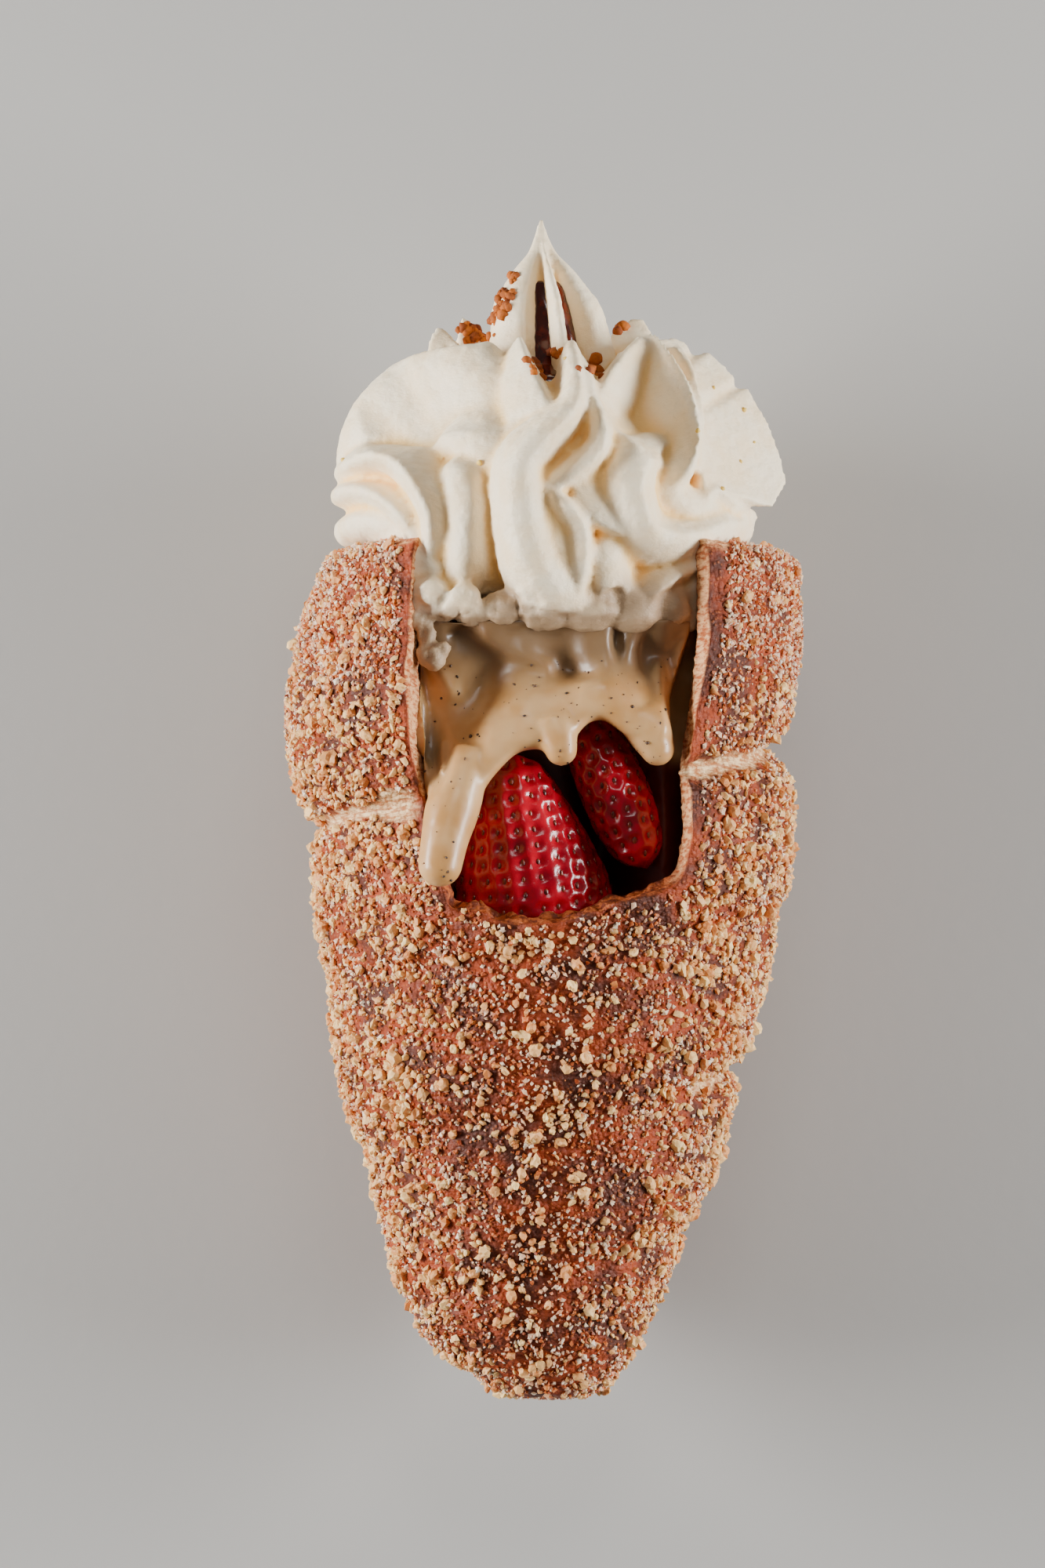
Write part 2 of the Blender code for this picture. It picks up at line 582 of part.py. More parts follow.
def relief_of(ridges, spots):
    """The most that any of the ridges rises at each spot (across, height)."""
    most = np.zeros(len(spots))
    for points, right, left in ridges:
        steps = (len(points) - 1) * RIDGE_STEPS
        fine = np.array([along(points, i / RIDGE_STEPS) for i in range(steps + 1)])
        nearest = np.full(len(spots), np.inf)
        rise, side, share = np.zeros((3, len(spots)))
        for i, (a, b) in enumerate(zip(fine, fine[1:])):
            step, to = b[:2] - a[:2], spots - a[:2]
            t = np.clip(to @ step / (step @ step), 0.0, 1.0)
            distance = np.hypot(*(to - t[:, None] * step).T)
            closer = distance < nearest
            nearest[closer] = distance[closer]
            rise[closer] = (a[2] + (b[2] - a[2]) * t)[closer]
            side[closer] = (step[0] * to[:, 1] - step[1] * to[:, 0])[closer]
            share[closer] = ((i + t) / steps)[closer]
        on_right, on_left = (first + (last - first) * share for first, last, _ in (right, left))
        width, hollow = np.where(side > 0, on_right, on_left), np.where(side > 0, right[2], left[2])
        u = np.clip((np.hypot(nearest, RIDGE_ROUND) - RIDGE_ROUND) / width, 0.0, 1.0)
        most = np.maximum(most, rise * (hollow * (1 - u) ** 3 + (1 - hollow) * (1 - u * u)))
    return most


def kept_in_mouth(x, y, z, grow):
    """Below the rim the cream stays inside the dough, apart from what hangs into the window."""
    azimuth, radius = math.degrees(math.atan2(x - CREAM_ASIDE, -y)), math.hypot(x - CREAM_ASIDE, y)
    height = max(z, CREAM_FLOOR)
    middle, half = sum(WINDOW_SIDES) / 2, (WINDOW_SIDES[1] - WINDOW_SIDES[0]) / 2
    beside = ease(half - SIDE_SOFTNESS, half + SIDE_SOFTNESS, abs(azimuth - middle))
    inside = beside * (1 - ease(*MOUTH_EDGE, height))
    most = MOUTH_REACH + lean(azimuth, height) + grow
    return turned(azimuth, radius + (min(radius, most) - radius) * inside, height, CREAM_ASIDE)


def cream_mound(name, grow=0.0):
    """The piped mound: a smooth body that stands out by the ridges seen there from in front."""
    path = [along(MOUND_PATH, (len(MOUND_PATH) - 1) * i / MOUND_ROWS) for i in range(MOUND_ROWS + 1)]
    points, outward = [], []
    for i, (radius, height) in enumerate(path):
        before, after = path[max(i - 1, 0)], path[min(i + 1, MOUND_ROWS)]
        down, out = before[1] - after[1], after[0] - before[0]
        length = math.hypot(down, out)
        for j in range(MOUND_COLUMNS):
            azimuth = 360.0 * j / MOUND_COLUMNS
            points.append(turned(azimuth, radius, height, CREAM_ASIDE))
            outward.append(turned(azimuth, down / length, out / length))
    points, outward = np.array(points), np.array(outward)
    least, reach, most = RIDGE_REACH
    reach = np.full(len(points), reach)
    for _ in range(3):
        spots = (points + outward * reach[:, None])[:, [0, 2]]
        rise = relief_of(RIDGES, spots)
        reach = np.clip((reach + rise + 1.0) / 2, least, most)
    moved = points + outward * (rise - relief_of(DENTS, spots) + grow)[:, None]
    kept = [kept_in_mouth(*point, grow) for point in moved.tolist()]
    made = ringed(name, [kept[i:i + MOUND_COLUMNS] for i in range(0, len(kept), MOUND_COLUMNS)])
    return thinned(made, MOUND_TRIANGLES)


def fin(edge, root, thick):
    """A thin fin from its torn edge to its root, where it is as thick as given."""
    rings = []
    for i, place in enumerate(edge):
        ahead = Vector(edge[min(i + 1, len(edge) - 1)]) - Vector(edge[max(i - 1, 0)])
        inward = Vector(along(root, (len(root) - 1) * i / (len(edge) - 1))) - Vector(place)
        across = inward.cross(ahead).normalized()
        ring = []
        for face in (1, -1):
            for layer in range(FIN_LAYERS + 1)[::face]:
                share = layer / FIN_LAYERS
                half = FIN_EDGE + (thick - FIN_EDGE) * share
                ring.append(Vector(place) + inward * share + across * half * face)
        rings.append([Vector((x, -forward, height)) for x, forward, height in ring])
    return ringed("fin", rings)


def peak_aside(height):
    """The peak's axis leans back to the left towards its top."""
    return CREAM_ASIDE - SPIRE_LEAN * ease(SPIRE_LEANS_FROM, SPIRE_PATH[0][1], height)


def peak():
    rings = []
    for row in range(SPIRE_ROWS + 1):
        radius, height = along(SPIRE_PATH, row * (len(SPIRE_PATH) - 1) / SPIRE_ROWS)
        azimuths = [360.0 * j / SPIRE_COLUMNS - 180 for j in range(SPIRE_COLUMNS)]
        aside = peak_aside(height)
        rings.append([turned(a, radius * through(SPIRE_ROUND, a), height, aside) for a in azimuths])
    return thinned(ringed("peak", rings), SPIRE_TRIANGLES)


def topping():
    """What is fused to the mound: fins, the peak, the sauce in its slots and biscuit crumbs."""
    chance = random.Random(3)
    sauce = []
    for radius, height in SAUCE_PATH:
        turns = [360.0 * (j + 0.5) / SAUCE_COLUMNS for j in range(SAUCE_COLUMNS)]
        sauce.append([turned(turn, radius, height, peak_aside(height)) for turn in turns])
    pieces = [*(fin(*spec) for spec in FINS), peak(), ringed("sauce", sauce)]
    for i, (azimuth, radius, height, size) in enumerate(BISCUIT_CRUMBS):
        pieces.append(nugget(f"biscuit_{i}", turned(azimuth, radius, height, CREAM_ASIDE), size, chance))
    return pieces


# ---------------------------------------------------------------- the filling


def berry(name, base, tip, radius, flatness, outline, grow=0.0):
    """A strawberry between the middle of its base and its tip, grown by a gap where asked."""
    base, tip = Vector(base), Vector(tip)
    axis = (tip - base).normalized()
    across = Vector((0, 1, 0)).cross(axis).normalized()
    deep = axis.cross(across)
    length, rings = (tip - base).length, []
    for share in [math.sin(math.pi / 2 * i / BERRY_RINGS) for i in range(BERRY_RINGS + 1)]:
        half = radius * through(outline, share) + grow
        middle = base + axis * (share * length + grow * (2 * share - 1))
        turns = [math.tau * j / BERRY_SIDES for j in range(BERRY_SIDES)]
        rings.append([middle + (across * math.cos(t) + deep * flatness * math.sin(t)) * half for t in turns])
    return ringed(name, rings)


def custard_body():
    """The custard that fills the cone, drawn back in front where the strawberries sit."""
    heights = sorted([h for h in INSIDE_HEIGHTS[:-1] if h <= CUSTARD_TOP] + list(POCKET_HEIGHTS))
    rings = []
    for height in heights:
        ring = []
        for j in range(COLUMNS):
            azimuth = 360.0 * j / COLUMNS
            facing = (azimuth + 180) % 360 - 180
            pocket = through(POCKET, height) * (1 - ease(*POCKET_HALF, abs(facing - POCKET_AZIMUTH)))
            hollow = HOLLOW_DEPTH * (1 - ease(*HOLLOW_HALF, abs(facing - HOLLOW_AZIMUTH)))
            hollow *= ease(*HOLLOW_BOTTOM, height) * (1 - ease(*HOLLOW_TOP, height))
            radius = inner_radius(azimuth, height) - CUSTARD_GAP - max(pocket, hollow)
            ring.append(turned(azimuth, radius, height, axis_aside(height)))
        rings.append(ring)
    return ringed("vanilla_custard", rings)


def custard_sheet(name):
    """The custard that hangs in the window, thickest along its lower edge and drawn back higher up."""
    rings = []
    left, right = SHEET_EDGE[0][0], SHEET_EDGE[-1][0]
    for i in range(SHEET_COLUMNS + 1):
        across = left + (right - left) * i / SHEET_COLUMNS
        edge, front = through(SHEET_EDGE, across), through(SHEET_FRONT, across)
        top, ring = CUSTARD_TOP - CUSTARD_GAP, []
        for share in SHEET_SHARES:
            above = (top - edge - SHEET_LIP) * share
            height = edge + SHEET_LIP + above
            back = SHEET_BACK * ease(0.0, SHEET_SLOPE, above)
            back *= 1 - SHEET_RETURNS * ease(SHEET_RETURN_FROM, top, height)
            ring.append(Vector((across, back - front, height)))
        for angle in SHEET_ANGLES:
            turn = math.radians(angle)
            lip = SHEET_LIP * (1 - math.cos(turn))
            ring.append(Vector((across, lip - front, edge + SHEET_LIP * (1 - math.sin(turn)))))
        at_foot, at_top = SHEET_INSIDE
        ring += [Vector((across, -at_foot, edge + SHEET_FOOT)), Vector((across, -at_top, top))]
        rings.append(ring)
    return ringed(name, rings)


def custard_run(name, points, radii):
    """One thick run of custard with a round end."""
    count, rings = (len(points) - 1) * 2, []
    middles = [Vector((x, -y, z)) for x, y, z in (along(points, i / 2) for i in range(count + 1))]
    sizes = [through(list(enumerate(radii)), i / 2) for i in range(count + 1)]
    end = (middles[-1] - middles[-2]).normalized() * sizes[-1]
    for turn in RUN_END_TURNS:
        middles.append(middles[count] + end * math.sin(turn))
        sizes.append(sizes[count] * math.cos(turn))
    for i, (middle, size) in enumerate(zip(middles, sizes)):
        ahead = (middles[min(i + 1, len(middles) - 1)] - middles[max(i - 1, 0)]).normalized()
        across = ahead.cross(Vector((0, 1, 0))).normalized()
        deep = across.cross(ahead)
        turns = [math.tau * j / RUN_SIDES for j in range(RUN_SIDES)]
        rings.append([middle + (across * math.cos(t) + deep * math.sin(t)) * size for t in turns])
    return ringed(name, rings)


# ---------------------------------------------------------------- the whole


def grown(source, name):
    """A copy of a piece, thicker all over by the gap that touching pieces keep."""
    made = bpy.data.objects.new(name, source.data.copy())
    bpy.context.scene.collection.objects.link(made)
    thicker = made.modifiers.new("grow", "DISPLACE")
    thicker.strength = ROOM * MM
    thicker.mid_level = 0.0
    settle(made)
    return made


def finish_on(target, name, colour, roughness):
    """A plain material for one node, and smooth shading with its edges kept."""
    material = bpy.data.materials.new(name)
    material.use_nodes = True
    shader = material.node_tree.nodes["Principled BSDF"]
    shader.inputs["Base Color"].default_value = (*colour, 1.0)
    shader.inputs["Roughness"].default_value = roughness
    shader.inputs["Metallic"].default_value = 0.0
    target.data.materials.clear()
    target.data.materials.append(material)
    target.data.shade_smooth()
    target.data.set_sharp_from_angle(angle=math.radians(50))


def lying():
    """An empty that lays the upright cake on its back, with the middle of its flat side at the origin."""
    carrier = bpy.data.objects.new("lying", None)
    bpy.context.scene.collection.objects.link(carrier)
    tilt = math.radians(LYING_TILT)
    turn = Matrix.Rotation(tilt - math.pi / 2, 4, "X")
    back = turn @ (Vector((0, through(OUTER_PROFILE, REST_HEIGHT), REST_HEIGHT)) * MM)
    carrier.matrix_world = Matrix.Translation((0, -back.y, PRESSED_FLAT * -MM - back.z)) @ turn
    bpy.context.view_layer.update()
    return carrier


def main():
    for old in list(bpy.data.objects):
        bpy.data.objects.remove(old)
    carrier = lying()
    lie = carrier.matrix_world.copy()

    berries = [berry(*spec) for spec in BERRIES]
    cream = cream_mound("whipped_cream")
    room_for_cream = cream_mound("room", CREAM_ROOM)
    fuse(cream, topping())
    keep_largest(cream)

    custard = custard_body()
    hanging = [custard_sheet("sheet"), *(custard_run("run", *run) for run in RUNS)]
    room_for_custard = [grown(piece, "room") for piece in hanging]
    fuse(custard, hanging)
    for spec in BERRIES:
        cut(custard, berry("room", *spec[1:], grow=BERRY_GAP))
    keep_largest(custard)

    dough = dough_shell()
    cut(dough, window_cutter())
    cut(dough, room_for_cream)
    for spec in BERRIES:
        cut(dough, berry("room", *spec[1:], grow=BERRY_GAP))
    for room in room_for_custard:
        cut(dough, room)
    keep_largest(dough)
    press_flat(dough, lie)
    fuse(dough, crumbs_on_crust(lie))
    keep_largest(dough)

    finish_on(dough, "sugared_crust", (0.42, 0.16, 0.07), 0.75)
    finish_on(cream, "cream", (0.87, 0.80, 0.70), 0.45)
    finish_on(custard, "custard", (0.66, 0.50, 0.30), 0.25)
    for piece in berries:
        finish_on(piece, piece.name, (0.50, 0.01, 0.02), 0.25)
    for piece in (dough, cream, custard, *berries):
        piece.parent = carrier


main()
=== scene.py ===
import math

import bmesh
import bpy
import numpy as np
from bpy.props import FloatProperty, FloatVectorProperty, IntProperty, PointerProperty
from mathutils import Matrix, Vector, noise
from mathutils.bvhtree import BVHTree


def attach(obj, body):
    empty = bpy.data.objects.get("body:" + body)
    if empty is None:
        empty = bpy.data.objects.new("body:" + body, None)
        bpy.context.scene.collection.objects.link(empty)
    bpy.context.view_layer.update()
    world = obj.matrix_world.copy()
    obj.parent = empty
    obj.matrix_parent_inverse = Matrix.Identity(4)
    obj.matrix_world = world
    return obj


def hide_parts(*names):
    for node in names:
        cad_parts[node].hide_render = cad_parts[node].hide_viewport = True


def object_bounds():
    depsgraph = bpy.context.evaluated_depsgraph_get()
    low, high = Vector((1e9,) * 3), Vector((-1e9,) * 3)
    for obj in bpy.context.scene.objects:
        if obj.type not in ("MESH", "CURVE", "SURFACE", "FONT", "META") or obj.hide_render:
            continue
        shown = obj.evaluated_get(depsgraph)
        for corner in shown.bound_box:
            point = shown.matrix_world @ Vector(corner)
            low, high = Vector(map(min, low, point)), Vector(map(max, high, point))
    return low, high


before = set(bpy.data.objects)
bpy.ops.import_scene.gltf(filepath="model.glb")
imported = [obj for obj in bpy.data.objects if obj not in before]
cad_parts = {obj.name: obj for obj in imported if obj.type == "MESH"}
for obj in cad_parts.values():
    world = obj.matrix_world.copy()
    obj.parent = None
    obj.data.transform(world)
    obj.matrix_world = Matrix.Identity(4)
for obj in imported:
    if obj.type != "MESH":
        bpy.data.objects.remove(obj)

bl_info = {
    "name": "Filled Chimney Cake",
    "version": (1, 0, 0),
    "blender": (4, 5, 0),
    "location": "3D View > Sidebar > Chimney Cake",
    "description": "Dresses a filled chimney cake: sugared dough, custard, strawberries and piped cream",
    "category": "Object",
}

CAD_BOX = [list(corner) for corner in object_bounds()]
MM = 0.001

# Everything is worked out upright round the cone's axis, in millimetres: the tip at height 0 and the front
# towards -Y. Azimuths are in degrees from the front, positive to the right. LIE lays it on its back.
# The crust and the dough's inside, as (height, radius)
OUTER_PROFILE = (
    (0.0, 0.0), (1.2, 7.8), (4.0, 12.0), (7.5, 15.8), (13.0, 20.2), (27.0, 25.8), (56.0, 35.0),
    (90.0, 41.4), (112.0, 44.2), (128.0, 45.4), (139.0, 44.8), (155.0, 42.0),
)
INNER_PROFILE = (
    (17.0, 0.0), (18.5, 7.0), (24.0, 13.0), (56.0, 25.4), (90.0, 32.0), (122.0, 35.4),
    (139.0, 35.2), (155.0, 32.0),
)
# Where the rounded rim starts, how far and from where up it hangs lower at the sides, and how the mouth leans
CAKE_LENGTH = 155.0
RIM_START = 149.5
RIM_DIP = 3.2
DIPS_FROM = 140.0
RIM_ROWS = 10
MOUTH_LEAN = 2.2
LEANS_BETWEEN = (118.0, 156.0)
DOUGH_ROWS = 150
DOUGH_COLUMNS = 220
LINING_HEIGHTS = (140.0, 125.0, 110.0, 95.0, 78.0)
# How far right of the middle the cone's axis runs, as (height, across)
AXIS_ASIDE = (
    (0.0, 1.6), (6.0, 0.2), (14.0, -2.2), (24.0, -1.8), (40.0, -0.5), (70.0, 0.0), (94.0, 1.2),
    (108.0, 0.2), (118.0, -1.0), (128.0, -0.7), (142.0, 0.9), (155.0, 1.3),
)
# The strip rises by its pitch in a turn, and its first seam is at SEAM_HEIGHT on the right side
STRIP_PITCH = 28.6
SEAM_HEIGHT = 116.5
STRIP_BULGE = 1.1
BULGE_FULLNESS = 0.7
BULGE_MIDDLE = 0.62
SEAM_DEPTH = 0.7
SEAM_WIDTH = 1.5
# How much wider a seam is for its depth where it has opened, and from what share of its length it closes
SPLIT_WIDENING = 0.25
SPLIT_CLOSES = 0.55
# How strong the dough's lumps are, how large the big and the small ones, how strong the small are in turn,
# and the radius of the cylinder that they are worked out on
DOUGH_ROUGHNESS = 0.9
DOUGH_LUMPS = (22.0, 9.0)
SMALL_LUMPS = 0.6
LUMPS_RADIUS = 30.0
# The strip's pattern starts above the rounded tip
PLAIN_TIP = 16.0
# Where a seam has opened: how many turns above the first, azimuth, half length in degrees, depth
SPLITS = (
    (0, 72, 46, 3.4), (0, -66, 42, 2.6), (-2, 78, 34, 2.6), (-1, 134, 40, 2.4), (1, -140, 36, 2.0),
)
# The left split is torn wide open beside the window: how wide, up to what azimuths and below what height
FLAP_TORN_WIDTH = 2.2
FLAP_TORN_REACH = (35.0, 50.0)
FLAP_TORN_BELOW = 112.0
# The pale crumb in an opened seam: between what depths it begins, half its width and how that grows with the
# depth, how ragged and how soft its edge is, and how far below the crust it reaches
CRUMB_FROM_DEPTH = (0.8, 2.0)
CRUMB_HALF = (0.2, 0.34)
CRUMB_RAGGED = 1.1
CRUMB_SOFTNESS = 0.35
CRUMB_REACH = 3.0
# The window: its outline on the crust and where its walls meet the filling, as (across, height) pairs
WINDOW = (
    ((-16.8, 88.4), (-15.0, 89.2)), ((-19.0, 93.6), (-16.0, 93.5)), ((-21.6, 104.0), (-18.2, 103.0)),
    ((-23.4, 116.0), (-20.6, 116.0)), ((-24.6, 130.0), (-21.6, 130.0)), ((-24.1, 172.0), (-21.0, 172.0)),
    ((32.0, 172.0), (26.0, 172.0)), ((31.2, 138.0), (26.6, 136.0)), ((28.0, 124.0), (25.6, 126.0)),
    ((27.4, 113.0), (23.6, 113.0)), ((27.4, 102.0), (24.2, 102.0)), ((25.6, 92.4), (23.0, 95.0)),
    ((20.0, 90.4), (19.0, 92.8)), ((12.0, 89.0), (11.6, 91.0)), ((6.5, 87.2), (6.2, 89.0)),
    ((-1.0, 85.8), (-0.8, 87.8)), ((-7.5, 86.0), (-7.0, 88.0)), ((-12.4, 88.8), (-11.4, 89.6)),
)
WINDOW_MIDDLE = (2.0, 118.0)
# The places along Y of the block that cuts it: in front, at the crust, at the walls' foot and at the back
WINDOW_FRONT = -64.0
WINDOW_CRUST = -41.0
WINDOW_INSIDE = -30.0
WINDOW_BACK = -19.0
# How far below the crust a cut wall begins and is all there, and how far outside the outline it is looked for
WALL_BELOW = (0.5, 1.6)
WALL_MARGIN = 1.6
# The torn edge under the strawberries: the heights between which it begins, in colour and in shape
LIP_BETWEEN = (97.0, 91.0)
TORN_BETWEEN = (96.0, 90.0)
TORN_MARGIN = 3.0
# The coating stays this far outside the outline, and this deep below the crust, in general and on the rim
COAT_MARGIN = 0.3
COAT_BELOW = 2.2
COAT_BELOW_RIM = 8.5

CREAM_ASIDE = 1.4
CREAM_FLOOR = 140.0
# The mound under the ridges: from its middle over its shoulder and down, as (radius, height)
MOUND_PATH = (
    (0.5, 176), (7, 176), (14, 178.5), (19, 179), (25.5, 176), (30, 171.5), (32, 166.5), (33, 161),
    (32.5, 155.5), (32, 149), (31, 144), (29, 140),
)
# The cream's ridges as seen from in front: points (across, height, rise), and the flanks on the right and
# the left of a ridge that runs down: width at its first and its last point, and how hollow from 0 to 1
RIDGES = (
    # the large petal on the left, its edge above the middle and its foot
    (((-5, 191, 12), (-9.5, 188, 9.5), (-16, 187, 9.5), (-22, 186, 9.5), (-28, 183.5, 9), (-35, 176, 8),
      (-39, 165, 6)), (14, 14, 0.8), (4, 3, 0.2)),
    (((-5, 191, 11.5), (-2.5, 184, 8), (1, 176.5, 6), (0.5, 172.5, 4.5)), (2, 2, 0.1), (7, 12, 0.3)),
    (((-13.5, 175, 3), (-12, 171.5, 3), (-11, 168, 2.5)), (8, 4, 0), (10, 6, 0)),
    # the three rolls on the left and the bulge beside them
    (((-40, 163, 5.5), (-38.5, 166, 6.5), (-32, 168.5, 8), (-26, 166.5, 8), (-21, 159, 8.5),
      (-20, 154.5, 8.5), (-20.5, 150.5, 7.5)), (4, 6.5, 0.4), (3, 3.5, 0)),
    (((-40.5, 160.5, 6), (-37, 162.5, 7), (-31, 161.5, 7.5), (-25.5, 157, 7.5), (-22, 150, 6)),
     (2, 2, 0.1), (4, 3, 0)),
    (((-40, 154, 6), (-36, 156, 6.5), (-30, 156, 6.5), (-24, 151, 5)), (2.5, 2.5, 0), (5, 4, 0)),
    (((-15.5, 164, 5), (-14.5, 157, 6.5), (-15, 149, 6.5), (-17, 143.5, 5.5)), (4.5, 4.5, 0), (5, 6.5, 0)),
    # the long fold in the middle, which bends left and back
    (((5, 189.5, 9.5), (6, 181, 9.5), (5, 176, 9.5), (0, 171, 10), (-4, 166, 10), (-4, 158, 10),
      (-2, 149, 9.5), (1.5, 143, 8.5), (5, 139.5, 7)), (1.5, 8.5, 0), (3.5, 8.5, 0)),
    # its right edge, above and below, and the hollow between them
    (((6, 188, 7), (9, 180, 7.5), (11, 172, 8), (9.5, 167.5, 8), (5, 163.5, 7), (1.5, 161.5, 6)),
     (1.2, 2, 0.1), (3.5, 4.5, 0)),
    (((0, 162.5, 6), (4, 159, 8), (7, 155, 8), (7.5, 150, 8), (6.5, 144, 7), (5, 140, 6)),
     (1.5, 1.5, 0.1), (7, 7, 0.2)),
    (((0.5, 157, 6), (2, 151, 6.5), (4.5, 144.5, 6.5)), (6.5, 6.5, 0), (6.5, 6.5, 0)),
    # the large petal on the right, its edge above the middle and its foot
    (((18.5, 189.5, 12), (21, 186.5, 11), (25.5, 180.5, 9.5), (27.5, 173, 9), (26.5, 166.5, 8),
      (24, 162.5, 5)), (1.8, 1.8, 0.2), (10, 9, 0.75)),
    (((18, 189.5, 11.5), (15, 187, 9.5), (11.5, 183, 7.5), (10.5, 178, 5)), (8, 8, 0.3), (1.8, 1.8, 0.1)),
    (((15, 175, 3), (17.5, 172, 3), (19.5, 169.5, 2.5)), (8, 4, 0), (8, 5, 0)),
    # the curl under it, its basin, its lower edge and the bulge below
    (((21, 168.5, 6), (18.5, 166, 8), (17.5, 161, 9.5), (19, 156, 10), (22, 154, 9), (27, 154, 8.5),
      (33.5, 156, 7)), (3, 4.5, 0.35), (9, 7, 0)),
    (((24.5, 160.5, 4.5), (28, 158.5, 5), (31, 158, 5)), (4.5, 4.5, 0), (4.5, 4.5, 0)),
    (((5.5, 163, 5), (6.5, 159, 6), (10, 155.5, 7), (17, 153, 7), (25, 152, 6.5)),
     (9, 6, 0), (1.3, 1.3, 0.1)),
    (((11, 149.5, 6), (12, 144.5, 6.5), (13.5, 140, 6)), (6, 6, 0), (5, 5, 0)),
    # the small curl low on the right
    (((32, 152.5, 7), (29, 148.5, 7.5), (24, 146, 8), (20, 143, 8), (19, 140, 7)),
     (2.5, 2.5, 0.4), (4.5, 4.5, 0.2)),
    (((32, 150.5, 6), (27, 143.5, 7), (21.5, 139.5, 6.5)), (4, 3, 0.1), (2.5, 2.5, 0.4)),
    # the ruffle on the right
    (((26, 157, 3), (29, 160, 5), (32, 162, 5.5), (35.5, 159, 5.5), (39.5, 157.5, 4)),
     (2, 2, 0.2), (3.5, 3.5, 0.2)),
)
# Hollows in the left and the right petal, in the same way
DENTS = (
    (((-28, 175, 3), (-20, 179, 3), (-11, 178, 1)), (5, 5, 0), (6, 5, 0)),
    (((15, 180.5, 2.5), (18.5, 176.5, 3.5), (22, 172, 3)), (6, 5, 0), (6, 5, 0)),
)
# How round a ridge is, how finely it is followed, and between what limits its points are looked for
RIDGE_ROUND = 0.5
RIDGE_STEPS = 4
RIDGE_REACH = (5.0, 7.0, 11.0)
# Thin fins with torn edges: the edge's points and the root's, as (across, forward, height), and how thick
FINS = (
    (((20, 9, 189), (23, 6, 189.5), (25.5, 5, 188.5), (26.5, 5, 186), (29.5, 4, 187), (31.5, 4, 185),
      (34, 4, 182.5), (34, 4, 180), (36.5, 4, 180.5), (39.5, 5, 175), (42, 6, 169), (43, 8, 163.5),
      (40.5, 14, 159)), ((20, 12, 183.5), (24, 16, 176.5), (26.5, 24, 161)), 3),
    (((-21, 2, 186), (-20, 0, 190.5), (-19, -1, 192), (-17.5, -1, 191.5), (-13.5, 3, 187)),
     ((-20, 2, 180.5), (-14, 4, 180.5)), 3),
    (((-16, -2, 187), (-15, -4, 192.5), (-14.5, -5, 194), (-13, -5, 193), (-8.5, -2, 188)),
     ((-14.5, -2, 183), (-8.5, -1, 183)), 3),
    (((11.5, -4, 188), (12.5, -7, 191.5), (16, -9, 194), (18, -9, 193.5), (20.5, -6, 189.5),
      (21.5, -4, 187)), ((12.5, -3, 183.5), (20.5, -2, 182.5)), 4),
)
FIN_EDGE = 0.5
FIN_LAYERS = 8
FIN_STEPS = 6
# Inside the mouth the cream stays this near its axis, and spreads between the next heights. It is free to
# hang out between the window's sides, which are azimuths
MOUTH_REACH = 30.6
MOUTH_EDGE = (149.0, 152.0)
WINDOW_SIDES = (-38.0, 45.0)
SIDE_SOFTNESS = 3.0
# The peak: how its radius runs down, and how far out it stands at each azimuth, with deep slots in front
SPIRE_PATH = (
    (0.5, 211.0), (1.4, 208.0), (2.8, 205.0), (5.2, 202.4), (7.8, 199.0), (10.0, 195.6), (11.2, 190.0),
    (12.4, 184.5), (12.4, 176.0),
)
SPIRE_ROUND = (
    (-180, 0.5), (-165, 0.9), (-150, 1.0), (-128, 0.9), (-112, 0.5), (-98, 0.88), (-75, 0.98),
    (-52, 1.0), (-36, 0.95), (-27, 0.84), (-21, 0.44), (-12, 0.4), (-3, 0.44), (4, 0.84), (12, 1.0),
    (20, 0.84), (27, 0.44), (36, 0.4), (45, 0.44), (52, 0.84), (60, 0.95), (68, 1.0), (95, 0.95),
    (110, 0.85), (124, 0.5), (140, 0.9), (160, 1.0), (170, 0.85), (180, 0.5),
)
SPIRE_LEAN = 1.8
SPIRE_LEANS_FROM = 182.0
# The sauce's outline inside the peak, from its top down, as (radius, height), and how uneven it is
SAUCE_PATH = (
    (1.5, 200.6), (3.8, 199.2), (5.2, 195.5), (6.2, 190.5), (7.4, 185.0), (13.2, 182.2), (13.4, 179.5),
)
SAUCE_ROWS = 40
SAUCE_COLUMNS = 72
SAUCE_UNEVEN = 0.35
# How fine the mound and the peak are before they are made one skin
MOUND_ROWS = 170
MOUND_COLUMNS = 300
SPIRE_ROWS = 70
SPIRE_COLUMNS = 160
# How far down the folds in the window reach, as (across, height)
FOLD_ENDS = (
    (-24.0, 146.0), (-16.0, 143.6), (-11.0, 142.2), (-6.0, 141.4), (0.0, 140.6), (5.5, 140.0), (9.0, 142.6),
    (13.0, 144.4), (17.0, 141.8), (20.5, 140.0), (24.0, 142.0), (28.0, 146.0),
)
